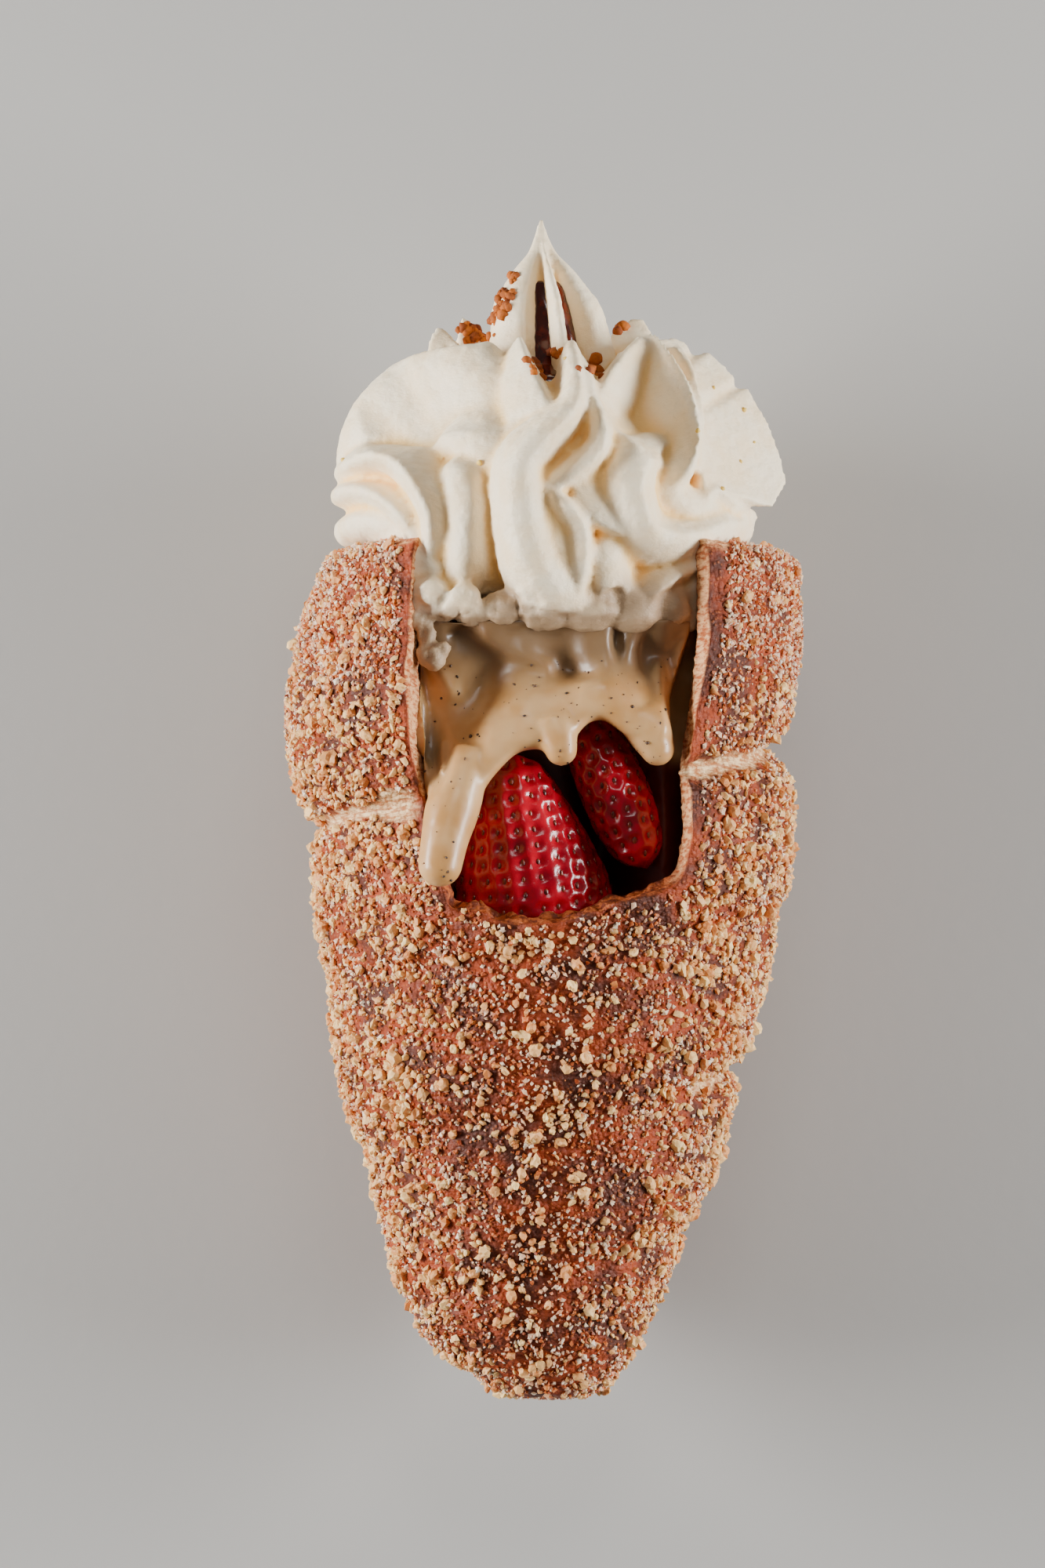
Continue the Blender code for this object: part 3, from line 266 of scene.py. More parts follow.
# Where the cream has sagged over the custard, as (across, forward, height, half width, half height)
CREAM_LUMPS = (
    (-23.2, 32.2, 142.4, 2.2, 4.0), (-23.0, 31.0, 147.6, 3.2, 4.4), (-19.8, 31.0, 147.0, 3.4, 4.6),
    (-19.4, 33.6, 143.6, 3.0, 2.6), (-16.4, 34.0, 141.4, 2.6, 2.4), (-13.6, 34.2, 142.6, 2.9, 2.8),
    (-21.4, 32.6, 139.2, 2.4, 2.4), (-17.6, 32.4, 140.2, 3.0, 1.8), (-12.0, 32.4, 139.8, 3.6, 2.4),
    (-7.0, 32.0, 140.6, 4.6, 3.4), (0.0, 31.8, 140.8, 6.0, 4.0), (8.0, 31.6, 141.0, 6.0, 4.6),
    (15.5, 30.6, 141.2, 5.4, 5.0), (21.5, 28.6, 141.6, 4.4, 4.6), (25.4, 26.4, 142.6, 3.4, 6.0),
    (-19.6, 32.8, 132.4, 2.8, 2.3), (-20.6, 32.6, 135.8, 1.8, 1.7), (-17.6, 33.0, 133.8, 1.7, 1.4),
)
# How far forward the cream in the window is, and between what heights it has sagged, more on the left
IN_WINDOW = (18.0, 26.0)
SAGGED_BETWEEN = (146.5, 141.0)
SAGGED_LEFT_OF = (6.0, -6.0)
# It has melted and is greyed with painted shade below the last heights, and below the first ones where it
# lies further back and not far left
MELT_SHADE_BETWEEN = (149.0, 142.5)
MELT_SHADE_BEHIND = (37.2, 34.8)
MELT_SHADE_RIGHT_OF = (-15.0, -7.0)
MELT_SHADE_BELOW = (141.6, 138.8)
# Towards its tip the cream gets smooth, and the painted shade in its folds fades out
SMOOTH_FROM = (208.0, 196.0)
PALE_FROM = (208.0, 200.0)

# The custard stays this far inside the dough, and is made with more detail from CUSTARD_SHOWN_FROM up
CUSTARD_GAP = 0.5
CUSTARD_TOP = 139.5
CUSTARD_SHOWN_FROM = 78.0
# The custard hangs this far forward, is uneven above the first heights and has painted grey shade under the
# cream above the next
HANGING_FROM = (24.0, 28.0)
UNEVEN_FROM = (112.0, 122.0)
GREYED_FROM = (124.0, 134.0)
# Its face beside the sheet, on the right: how far across it begins, how that leans, and above what height
BESIDE_FROM = (20.6, 23.4)
BESIDE_LEAN = 0.5
BESIDE_LEANS_FROM = 131.0
BESIDE_ABOVE = (112.0, 118.0)
BESIDE_FORWARD = 8.0
# Juice stains and painted shade darken it behind this and below these heights
STAIN_SHADE_BEHIND = (27.5, 23.0)
STAIN_SHADE_BELOW = (126.0, 112.0)
STAIN_SHADE_FORWARD = 5.0
# The strawberries' pocket in front: how deep it is at each height, its azimuth and its fading half width
POCKET = (
    (80.0, 0.0), (84.0, 7.0), (88.0, 14.0), (96.0, 15.0), (118.0, 15.0), (126.0, 9.0), (132.0, 7.5),
    (140.0, 6.5),
)
POCKET_AZIMUTH = 3.0
POCKET_HALF = (28.0, 42.0)
# The hollow beside the custard on the right: its azimuth, half its width, and where it starts and ends
HOLLOW_DEPTH = 2.5
HOLLOW_AZIMUTH = 44.0
HOLLOW_HALF = (6.0, 14.0)
HOLLOW_BOTTOM = (84.0, 96.0)
HOLLOW_TOP = (130.0, 137.0)
# The custard that hangs in the window: its lower edge, as (across, height)
SHEET_EDGE = (
    (-21.8, 114.0), (-21.0, 109.0), (-17.0, 105.6), (-12.6, 106.4), (-8.6, 111.6), (-4.6, 115.4),
    (1.0, 116.4), (4.6, 117.4), (7.4, 120.4), (10.4, 121.2), (14.0, 119.0), (18.0, 117.4), (21.6, 119.4),
)
# How far forward it stands at its edge, at a few places across
SHEET_FRONT = (
    (-21.8, 36.0), (-17.0, 38.6), (-10.0, 38.0), (0.0, 37.4), (9.0, 36.4), (17.0, 36.0), (21.6, 32.6),
)
# How far across the sheet's right edge is, as (height, across)
SHEET_RIGHT = ((117.0, 21.6), (121.0, 20.8), (126.0, 20.4), (131.0, 21.4), (135.0, 23.6), (139.5, 26.6))
# From this far across, the sheet bends to follow its right edge
SHEET_BENDS_FROM = 8.0
# How far it draws back above its edge, over what height, and how much of that it gives up near its top
SHEET_BACK = 8.0
SHEET_SLOPE = 18.0
SHEET_RETURNS = 0.5
SHEET_RETURN_FROM = 130.0
SHEET_LIP = 2.6
SHEET_COLUMNS = 88
SHEET_ROWS = 14
# Its back: how far forward it is at its foot and top, and how high its foot is above the edge
SHEET_INSIDE = (26.0, 22.0)
SHEET_FOOT = 4.5
# Hollows in the custard that hangs there: across, height, half width, half height, depth and how dark their
# painted shade is
CUSTARD_HOLLOWS = (
    (-15.0, 135.4, 4.2, 3.0, 3.0, 0.9), (-19.4, 117.0, 2.4, 5.4, 3.0, 0.8),
    (6.6, 130.2, 4.6, 1.8, 1.6, 0.5), (13.0, 135.6, 1.1, 2.8, 2.2, 0.8),
    (-1.0, 136.6, 5.5, 1.4, 1.4, 0.4), (18.2, 134.0, 2.2, 3.4, 1.6, 0.5),
)
# Streaks that stand out of it, from one place to another, as (across, height) pairs, half width and rise
CUSTARD_STREAKS = (
    ((-10.0, 136.2), (0.4, 130.6), 1.7, 1.4), ((-17.6, 117.8), (-18.0, 112.6), 0.55, 0.9),
    ((19.8, 131.0), (20.6, 119.6), 1.2, 0.9), ((-21.4, 134.0), (-16.0, 126.4), 1.4, 0.7),
)
# For each run of custard: its points as (across, forward, height) and its radius at each
RUNS = (
    (((-12.6, 33.6, 116.0), (-15.6, 36.4, 107.0), (-17.2, 38.6, 100.6), (-18.0, 39.6, 96.2)),
     (3.6, 4.8, 4.2, 3.9)),
    (((1.4, 34.0, 121.0), (2.6, 35.2, 117.6), (3.0, 35.4, 116.2)), (4.0, 3.4, 2.9)),
    (((16.6, 31.6, 122.0), (19.0, 32.4, 118.0), (19.8, 32.6, 116.4)), (4.0, 3.6, 3.1)),
)
# The strawberries' outlines, as (share of the length, share of the radius)
TALL_BERRY = (
    (0.0, 0.9), (0.12, 1.0), (0.3, 0.95), (0.5, 0.79), (0.68, 0.62), (0.83, 0.46), (0.93, 0.3), (1.0, 0.0),
)
SLIM_BERRY = ((0.0, 0.55), (0.2, 0.85), (0.45, 1.0), (0.7, 0.96), (0.85, 0.78), (0.94, 0.52), (1.0, 0.0))
# For each strawberry: its name, its base and tip in upright millimetres, radius, flatness and outline
BERRIES = (
    ("strawberry_left", (-1.4, -19.0, 84.0), (-5.8, -26.0, 115.8), 14.7, 0.85, TALL_BERRY),
    ("strawberry_right", (6.4, -21.0, 123.5), (18.2, -24.4, 95.2), 6.3, 1.15, SLIM_BERRY),
)
BERRY_ROWS = 110
BERRY_COLUMNS = 150
SEED_SPACING = 3.3
# How wide, long and thick a seed is, for its size
SEED_SHAPE = (0.62, 1.15, 0.45)
SEED_SIZE = (0.5, 0.12)
# The dimple that each seed sits in
DIMPLE_DEPTH = 0.7
DIMPLE_WIDTH = 1.15

# How the cake lies: its tilt in degrees, how far its back is pressed flat, and at what height of the cone
LYING_TILT = 6.6
PRESSED_FLAT = 1.5
REST_HEIGHT = 106.0

# The view: where its middle falls on the cake, as (across, height), how tall it is and from how far
VIEW_MIDDLE = (-3.7, 110.2)
VIEW_TALL = 280.0
VIEW_FROM = 1400.0
# Each light: its place and what it faces in upright millimetres, width, height and share of the power
LIGHTS = (
    ("left", (-860.0, -270.0, 160.0), (0.0, 0.0, 112.0), 620.0, 260.0, 1.1),
    ("right", (860.0, -270.0, 140.0), (0.0, 0.0, 112.0), 620.0, 260.0, 0.88),
    ("above", (60.0, -640.0, 560.0), (0.0, 0.0, 150.0), 260.0, 200.0, 0.045),
)
ROOM_LIGHT = 0.11


# ---------------------------------------------------------------- curves and places


def through(knots, at):
    """The value at a place on one smooth curve through (place, value) knots."""
    if at <= knots[0][0]:
        return knots[0][1]
    for i in range(len(knots) - 1):
        (a, fa), (b, fb) = knots[i], knots[i + 1]
        if at <= b:
            before = knots[max(i - 1, 0)]
            after = knots[min(i + 2, len(knots) - 1)]
            slope_a = (fb - before[1]) / (b - before[0])
            slope_b = (after[1] - fa) / (after[0] - a)
            t = (at - a) / (b - a)
            return (
                fa * (1 + 2 * t) * (1 - t) ** 2 + slope_a * (b - a) * t * (1 - t) ** 2
                + fb * t * t * (3 - 2 * t) + slope_b * (b - a) * t * t * (t - 1)
            )
    return knots[-1][1]


def along(points, at):
    """The point at a place, counted in points, on one smooth curve through a list of points."""
    axes = range(len(points[0]))
    return tuple(through([(i, p[axis]) for i, p in enumerate(points)], at) for axis in axes)


def ease(low, high, value):
    """0 below low, 1 above high and smooth between."""
    t = min(max((value - low) / (high - low), 0.0), 1.0)
    return t * t * (3 - 2 * t)


def turned(azimuth, radius, height, aside=0.0):
    """The place at an azimuth, a distance from the axis and a height. The axis may lie aside."""
    angle = math.radians(azimuth)
    return Vector((aside + radius * math.sin(angle), -radius * math.cos(angle), height))


def angle_between(a, b):
    """The angle from one azimuth to another, from 0 to 180 degrees."""
    return abs((a - b + 180) % 360 - 180)


def lying():
    """The matrix that lays the upright cake on its back, with the middle of its flat side at the origin."""
    turn = Matrix.Rotation(math.radians(LYING_TILT) - math.pi / 2, 4, "X")
    back = turn @ (Vector((0, through(OUTER_PROFILE, REST_HEIGHT), REST_HEIGHT)) * MM)
    return Matrix.Translation((0, -back.y, PRESSED_FLAT * -MM - back.z)) @ turn


LIE = lying()
UPRIGHT = LIE.inverted()


# ---------------------------------------------------------------- meshes


def mesh_object(name, points, faces):
    """A new object from points in upright millimetres, laid down into the frame."""
    mesh = bpy.data.meshes.new(name)
    mesh.from_pydata([LIE @ (Vector(p) * MM) for p in points], [], faces)
    made = bpy.data.objects.new(name, mesh)
    bpy.context.scene.collection.objects.link(made)
    return made


def cleaned(made):
    """Merges points that coincide, and turns the faces outwards."""
    shape = bmesh.new()
    shape.from_mesh(made.data)
    bmesh.ops.remove_doubles(shape, verts=shape.verts, dist=0.01 * MM)
    bmesh.ops.recalc_face_normals(shape, faces=shape.faces)
    shape.to_mesh(made.data)
    shape.free()
    return made


def ring_faces(rows, columns, start=0):
    """The quads between rings of points laid one after another."""
    return [
        (
            start + i * columns + j,
            start + i * columns + (j + 1) % columns,
            start + (i + 1) * columns + (j + 1) % columns,
            start + (i + 1) * columns + j,
        )
        for i in range(rows - 1)
        for j in range(columns)
    ]


def ringed(name, rings):
    """A closed solid through rings of points, with its first and last ring closed to their middles."""
    columns = len(rings[0])
    points = [p for ring in rings for p in ring]
    faces = ring_faces(len(rings), columns)
    for ring, first in ((rings[0], 0), (rings[-1], (len(rings) - 1) * columns)):
        middle = len(points)
        points.append(sum(ring, Vector()) / columns)
        faces += [(middle, first + j, first + (j + 1) % columns) for j in range(columns)]
    return cleaned(mesh_object(name, points, faces))


def settle(target):
    """Turns what the modifiers make of an object into its own mesh."""
    graph = bpy.context.evaluated_depsgraph_get()
    made = bpy.data.meshes.new_from_object(target.evaluated_get(graph), depsgraph=graph)
    target.modifiers.clear()
    target.data = made
    return target


def joined(name, pieces):
    """One object that holds all the pieces' meshes."""
    shape = bmesh.new()
    for piece in pieces:
        shape.from_mesh(piece.data)
        bpy.data.objects.remove(piece)
    mesh = bpy.data.meshes.new(name)
    shape.to_mesh(mesh)
    shape.free()
    made = bpy.data.objects.new(name, mesh)
    bpy.context.scene.collection.objects.link(made)
    return made


def remeshed(target, voxel, smoothing):
    """One skin round everything in the object, in even faces, smoothed a number of times."""
    remesh = target.modifiers.new("skin", "REMESH")
    remesh.mode = "VOXEL"
    remesh.voxel_size = voxel * MM
    if smoothing:
        smooth = target.modifiers.new("soften", "SMOOTH")
        smooth.factor = 0.5
        smooth.iterations = smoothing
    return settle(target)


def coordinates(mesh):
    """The mesh's points as an array, in upright millimetres."""
    flat = np.empty(len(mesh.vertices) * 3, np.float32)
    mesh.vertices.foreach_get("co", flat)
    world = flat.reshape(-1, 3)
    back = np.array(UPRIGHT)
    return (world @ back[:3, :3].T + back[:3, 3]) / MM


def place(mesh, points):
    """Moves the mesh's points to an array in upright millimetres."""
    lie = np.array(LIE)
    low, high = np.array(CAD_BOX)
    world = np.clip((points * MM) @ lie[:3, :3].T + lie[:3, 3], low, high)
    mesh.vertices.foreach_set("co", world.astype(np.float32).ravel())
    mesh.update()


def upright_normals(mesh):
    """Which way is out at each of the mesh's points, with the cake upright."""
    flat = np.empty(len(mesh.vertices) * 3, np.float32)
    mesh.vertices.foreach_get("normal", flat)
    return flat.reshape(-1, 3) @ np.array(UPRIGHT)[:3, :3].T


def ripple(points, size, shift=0.0):
    """Smooth noise from -1 to 1 at each point, in lumps of about the size given."""
    moved = points / size + shift
    return np.array([noise.noise(p) for p in moved.tolist()])


def eased(low, high, values):
    """ease, for a whole array."""
    t = np.clip((values - low) / (high - low), 0.0, 1.0)
    return t * t * (3 - 2 * t)


def keep_on(mesh, name, values):
    """Stores one number per point, for a material to read."""
    layer = mesh.attributes.new(name, "FLOAT", "POINT")
    layer.data.foreach_set("value", np.asarray(values, np.float32))


def finish_piece(piece, material, slot, *nodes):
    """Dresses a piece: its material, its shading, what it rides on and which nodes it stands for."""
    piece.data.materials.clear()
    piece.data.materials.append(material)
    piece.data.shade_smooth()
    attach(piece, "root")
    if nodes:
        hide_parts(*nodes)
    return piece


# ---------------------------------------------------------------- materials


def linear(red, green, blue):
    """A colour given from 0 to 255 as the shader's own numbers."""
    channels = (red, green, blue)
    return tuple(((c / 255 + 0.055) / 1.055) ** 2.4 if c > 10 else c / 255 / 12.92 for c in channels)


class Finish:
    """A material built round one Principled BSDF, from colours, noises and bumps."""

    def __init__(self, name, **settings):
        self.material = bpy.data.materials.new(name)
        self.material.use_nodes = True
        self.tree = self.material.node_tree
        self.shader = self.tree.nodes["Principled BSDF"]
        for key, value in settings.items():
            self.shader.inputs[key.replace("_", " ")].default_value = value
        self.place = self.tree.nodes.new("ShaderNodeTexCoord").outputs["Object"]
        self.bumped = None

    def _put(self, socket, value):
        if isinstance(value, bpy.types.NodeSocket):
            self.tree.links.new(value, socket)
        elif isinstance(value, (tuple, list)) or hasattr(value, "__len__"):
            socket.default_value = (*value, 1.0) if len(value) == 3 else value
        else:
            socket.default_value = value

    def stretched(self, scale):
        """The place in the piece, stretched by a scale along each axis."""
        node = self.tree.nodes.new("ShaderNodeMapping")
        self.tree.links.new(self.place, node.inputs["Vector"])
        node.inputs["Scale"].default_value = scale
        return node.outputs["Vector"]

    def noise(self, size, detail=3.0, roughness=0.55, place=None):
        """Noise in lumps of about a size in millimetres."""
        node = self.tree.nodes.new("ShaderNodeTexNoise")
        self.tree.links.new(place or self.place, node.inputs["Vector"])
        node.inputs["Scale"].default_value = 1.0 / (size * MM)
        node.inputs["Detail"].default_value = detail
        node.inputs["Roughness"].default_value = roughness
        return node.outputs["Fac"]

    def cells(self, size):
        """The distance from the middles of cells of about a size in millimetres."""
        node = self.tree.nodes.new("ShaderNodeTexVoronoi")
        self.tree.links.new(self.place, node.inputs["Vector"])
        node.inputs["Scale"].default_value = 1.0 / (size * MM)
        return node.outputs["Distance"]

    def kept(self, name):
        """The number that the piece keeps at each point."""
        node = self.tree.nodes.new("ShaderNodeAttribute")
        node.attribute_name = name
        return node.outputs["Fac"]

    def ranged(self, value, low, high, to_low=0.0, to_high=1.0):
        """A value brought from one range into another, and kept in it."""
        node = self.tree.nodes.new("ShaderNodeMapRange")
        node.interpolation_type = "SMOOTHSTEP"
        self._put(node.inputs["Value"], value)
        for key, number in (("From Min", low), ("From Max", high), ("To Min", to_low), ("To Max", to_high)):
            node.inputs[key].default_value = number
        return node.outputs["Result"]

    def times(self, a, b):
        node = self.tree.nodes.new("ShaderNodeMath")
        node.operation = "MULTIPLY"
        self._put(node.inputs[0], a)
        self._put(node.inputs[1], b)
        return node.outputs["Value"]

    def mixed(self, share, a, b):
        """Colour a where the share is 0 and b where it is 1."""
        node = self.tree.nodes.new("ShaderNodeMix")
        node.data_type = "RGBA"
        self._put(node.inputs["Factor"], share)
        self._put(node.inputs["A"], a)
        self._put(node.inputs["B"], b)
        return node.outputs["Result"]

    def bump(self, height, depth):
        """Raises the surface by a height, up to a depth in millimetres."""
        node = self.tree.nodes.new("ShaderNodeBump")
        node.inputs["Distance"].default_value = depth * MM
        self.tree.links.new(height, node.inputs["Height"])
        if self.bumped:
            self.tree.links.new(self.bumped, node.inputs["Normal"])
        self.bumped = node.outputs["Normal"]

    def done(self, colour, roughness=None):
        self._put(self.shader.inputs["Base Color"], colour)
        if roughness is not None:
            self._put(self.shader.inputs["Roughness"], roughness)
        if self.bumped:
            self.tree.links.new(self.bumped, self.shader.inputs["Normal"])
        return self.material


def crust_finish(colours):
    """Baked crust under cinnamon sugar, brown layers where it is cut, pale crumb where a seam has opened."""
    finish = Finish("sugared_crust", Specular_IOR_Level=0.4, Subsurface_Weight=0.0)
    baked = finish.mixed(finish.ranged(finish.noise(9.0), 0.38, 0.64), colours.crust_dark, colours.crust)
    grains = finish.cells(0.8)
    patches = finish.ranged(finish.noise(3.0), 0.35, 0.62, 0.0, 0.3)
    sugar = finish.times(finish.ranged(grains, 0.4, 0.14), patches)
    coated = finish.mixed(sugar, baked, colours.cinnamon_sugar)
    layers = finish.noise(1.1, 5.0, 0.6, finish.stretched((0.45, 1.6, 0.45)))
    crumb = finish.mixed(finish.ranged(layers, 0.38, 0.66), colours.crumb_shade, colours.crumb)
    wall = finish.mixed(finish.ranged(layers, 0.36, 0.62), colours.wall_shade, colours.wall)
    lip = finish.mixed(finish.ranged(finish.noise(1.6, 4.0), 0.38, 0.62), colours.lip_shade, colours.lip)
    finish.bump(finish.noise(0.45, 4.0), 0.12)
    finish.bump(grains, -0.3)
    finish.bump(layers, 0.35)
    walled = finish.mixed(finish.kept("wall"), coated, wall)
    torn = finish.mixed(finish.kept("lip"), walled, lip)
    colour = finish.mixed(finish.kept("pale"), torn, crumb)
    return finish.done(colour, finish.ranged(finish.noise(1.2), 0.3, 0.7, 0.5, 0.8))


def grain_finish(name, dark, pale, roughness, subsurface, bump_size):
    """A crumb or a crystal, each in its own tone."""
    finish = Finish(
        name, Roughness=roughness, Subsurface_Weight=subsurface, Subsurface_Scale=0.0012,
        Subsurface_Radius=(1.0, 0.75, 0.55),
    )
    finish.bump(finish.noise(bump_size, 3.0), 0.12)
    tone = finish.mixed(finish.kept("tone"), dark, pale)
    mottled = finish.mixed(finish.ranged(finish.noise(bump_size * 2.2), 0.45, 0.75, 0.0, 0.45), tone, dark)
    return finish.done(mottled)


def cream_finish(colours):
    """Satin cream, with a yellow painted shade deep in its folds, and greyer where it is melting into the
    custard and lies in painted shade.
    """
    finish = Finish(
        "whipped_cream", Roughness=0.5, Subsurface_Weight=0.14, Subsurface_Scale=0.0012,
        Subsurface_Radius=(1.0, 0.8, 0.55), Specular_IOR_Level=0.45,
    )
    finish.bump(finish.noise(0.6, 5.0, 0.65, finish.stretched((0.55, 1.0, 1.0))), 0.16)
    finish.bump(finish.noise(2.6, 3.0), 0.2)
    body = finish.mixed(finish.ranged(finish.noise(6.0), 0.35, 0.7), colours.cream, colours.cream_shade)
    fold_shaded = finish.mixed(finish.kept("deep"), body, colours.cream_fold_shade)
    return finish.done(finish.mixed(finish.kept("melted_and_shaded"), fold_shaded, colours.cream_melted_shade))


def custard_finish(colours):
    """Shiny custard, with painted shade in its hollows and under the cream, and dark red where the
    strawberries sit, from juice stains mixed with painted shade.
    """
    finish = Finish(
        "vanilla_custard", Subsurface_Weight=0.3, Subsurface_Scale=0.003,
        Subsurface_Radius=(1.0, 0.65, 0.35), Coat_Weight=0.16, Coat_Roughness=0.16, Specular_IOR_Level=0.4,
    )
    finish.bump(finish.noise(5.0, 2.0), 0.2)
    clouds = finish.ranged(finish.noise(7.0, 2.0), 0.35, 0.7)
    body = finish.mixed(clouds, colours.custard, colours.custard_pale)
    hollow = finish.mixed(finish.kept("shaded"), body, colours.custard_shade)
    stained_and_shaded = finish.mixed(finish.kept("stained_and_shaded"), hollow, colours.juice_and_shade)
    return finish.done(stained_and_shaded, finish.ranged(finish.noise(4.0), 0.3, 0.7, 0.32, 0.44))


def berry_finish(colours):
    """Wet red flesh, with painted shade in the dimples."""
    finish = Finish("strawberry", Coat_Weight=0.4, Coat_Roughness=0.1, Specular_IOR_Level=0.45)
    finish.bump(finish.noise(0.5, 3.0), 0.04)
    body = finish.mixed(finish.ranged(finish.noise(6.0), 0.35, 0.7), colours.berry, colours.berry_dark_and_shade)
    dimple_shaded = finish.mixed(finish.kept("dimple"), body, colours.berry_dark_and_shade)
    return finish.done(dimple_shaded, finish.ranged(finish.noise(1.5), 0.3, 0.7, 0.16, 0.26))


def plain_finish(name, colour, shade, roughness, coat, bump, size):
    """One colour mottled with its shade, under a clear coat."""
    finish = Finish(name, Roughness=roughness, Coat_Weight=coat, Coat_Roughness=0.1)
    finish.bump(finish.noise(size, 4.0), bump)
    return finish.done(finish.mixed(finish.ranged(finish.noise(size * 1.7), 0.4, 0.65), colour, shade))


# ---------------------------------------------------------------- the dough


def lean(azimuth, height):
    """The mouth leans right as a whole: in on the left, out on the right."""
    return MOUTH_LEAN * math.sin(math.radians(azimuth)) * ease(*LEANS_BETWEEN, height)


def axis_aside(height):
    """How far right of the middle the cone's axis is."""
    return through(AXIS_ASIDE, height)


def seam(azimuth, height):
    """How far a place is from its seam, how far across its strip, and how deep the seam has opened."""
    azimuth = (azimuth + 180) % 360 - 180
    strip = (height - SEAM_HEIGHT) / STRIP_PITCH - (azimuth - 90) / 360
    across = strip - math.floor(strip)
    seam_turn, opened = round(strip), 0.0
    for turn, middle, half_length, depth in SPLITS:
        if turn == seam_turn:
            share = angle_between(azimuth, middle) / half_length
            opened = max(opened, depth * (1 - ease(SPLIT_CLOSES, 1.0, share)))
    return min(across, 1 - across) * STRIP_PITCH, across, opened


def crust_radius(azimuth, height):
    """How far from the axis the crust is, with its bulging strips, seams and lumps."""
    from_seam, across, opened = seam(azimuth, height)
    groove = (SEAM_DEPTH + opened) * math.exp(-((from_seam / (SEAM_WIDTH + SPLIT_WIDENING * opened)) ** 2))
    bulge = STRIP_BULGE * (math.sin(math.pi * across) ** BULGE_FULLNESS - BULGE_MIDDLE)
    place = turned((azimuth + 180) % 360 - 180, LUMPS_RADIUS, height)
    large, small = DOUGH_LUMPS
    rough = DOUGH_ROUGHNESS * (noise.noise(place / large) + SMALL_LUMPS * noise.noise(place / small))
    fade = ease(0.0, PLAIN_TIP, height)
    return through(OUTER_PROFILE, height) + lean(azimuth, height) + (bulge - groove + rough) * fade


def crust(azimuth, height):
    """The place on the crust at an azimuth and a height."""
    return turned(azimuth, crust_radius(azimuth, height), height, axis_aside(height))


def inner_radius(azimuth, height):
    """How far from the axis the dough's inside is."""
    return max(through(INNER_PROFILE, height), 0.0) + lean(azimuth, height)


def drooped(point):
    """The rim hangs lower at the two sides than in front and behind."""
    share = point.x * point.x / max(point.x * point.x + point.y * point.y, 1.0)
    return point - Vector((0, 0, RIM_DIP * share * ease(DIPS_FROM, CAKE_LENGTH, point.z)))


def dough_skin():
    """The dough from its tip to the mouth, over the rim and down the inside, which is closed off low down."""
    azimuths = [360.0 * j / DOUGH_COLUMNS for j in range(DOUGH_COLUMNS)]
    rings = []
    for i in range(DOUGH_ROWS + 1):
        height = RIM_START * (i / DOUGH_ROWS)
        rings.append([drooped(crust(azimuth, height)) for azimuth in azimuths])
    for i in range(1, RIM_ROWS + 1):
        turn = math.pi * i / RIM_ROWS
        ring = []
        for azimuth in azimuths:
            outer = crust(azimuth, RIM_START)
            inner = turned(azimuth, inner_radius(azimuth, RIM_START), RIM_START, axis_aside(RIM_START))
            middle, half = (outer + inner) / 2, (outer - inner) / 2
            lift = (CAKE_LENGTH - RIM_START) * math.sin(turn)
            ring.append(drooped(middle + half * math.cos(turn) + Vector((0, 0, lift))))
        rings.append(ring)
    for height in LINING_HEIGHTS:
        rings.append([turned(a, inner_radius(a, height), height, axis_aside(height)) for a in azimuths])
    return ringed("dough_skin", rings)


def window_block():
    """What is cut out for the window: a block that narrows from the crust inwards."""
    rings = []
    for depth in (WINDOW_FRONT, WINDOW_CRUST, WINDOW_INSIDE, WINDOW_BACK):
        share = ease(0.0, 1.0, (WINDOW_CRUST - depth) / (WINDOW_CRUST - WINDOW_INSIDE))
        ring = []
        for (a, b), (c, d) in WINDOW:
            ring.append(Vector((a + (c - a) * share, depth, b + (d - b) * share)))
        rings.append(ring)
    return ringed("window", rings)


def inside_window(points, margin):
    """For each point, whether it lies in front within the window's outline, grown by a margin."""
    middle, outline = Vector(WINDOW_MIDDLE), []
    for corner, _ in WINDOW:
        outline.append(Vector(corner) + (Vector(corner) - middle).normalized() * margin)
    x, z = points[:, 0], points[:, 2]
    inside = np.zeros(len(points), bool)
    for i, b in enumerate(outline):
        a = outline[i - 1]
        crosses = (a.y > z) != (b.y > z)
        with np.errstate(divide="ignore", invalid="ignore"):
            inside ^= crosses & (x < a.x + (b.x - a.x) * (z - a.y) / (b.y - a.y))
    return inside & (points[:, 1] < 0)


def cut_dough(sizes):
    """The dough with its window cut out, as one skin."""
    dough, block = dough_skin(), window_block()
    boolean = dough.modifiers.new("cut", "BOOLEAN")
    boolean.operation = "DIFFERENCE"
    boolean.object = block
    settle(dough)
    bpy.data.objects.remove(block)
    remeshed(dough, sizes.dough_voxel, 1)
    dough.name = "sugared_dough"
    return dough


def below_crust(points):
    """How far each point lies below the crust, and its azimuth."""
    aside = np.array([axis_aside(z) for z in points[:, 2]])
    azimuth = np.degrees(np.arctan2(points[:, 0] - aside, -points[:, 1]))
    radius = np.hypot(points[:, 0] - aside, points[:, 1])
    skin = np.array([crust_radius(a, z) for a, z in zip(azimuth, points[:, 2])])
    return skin - radius, azimuth


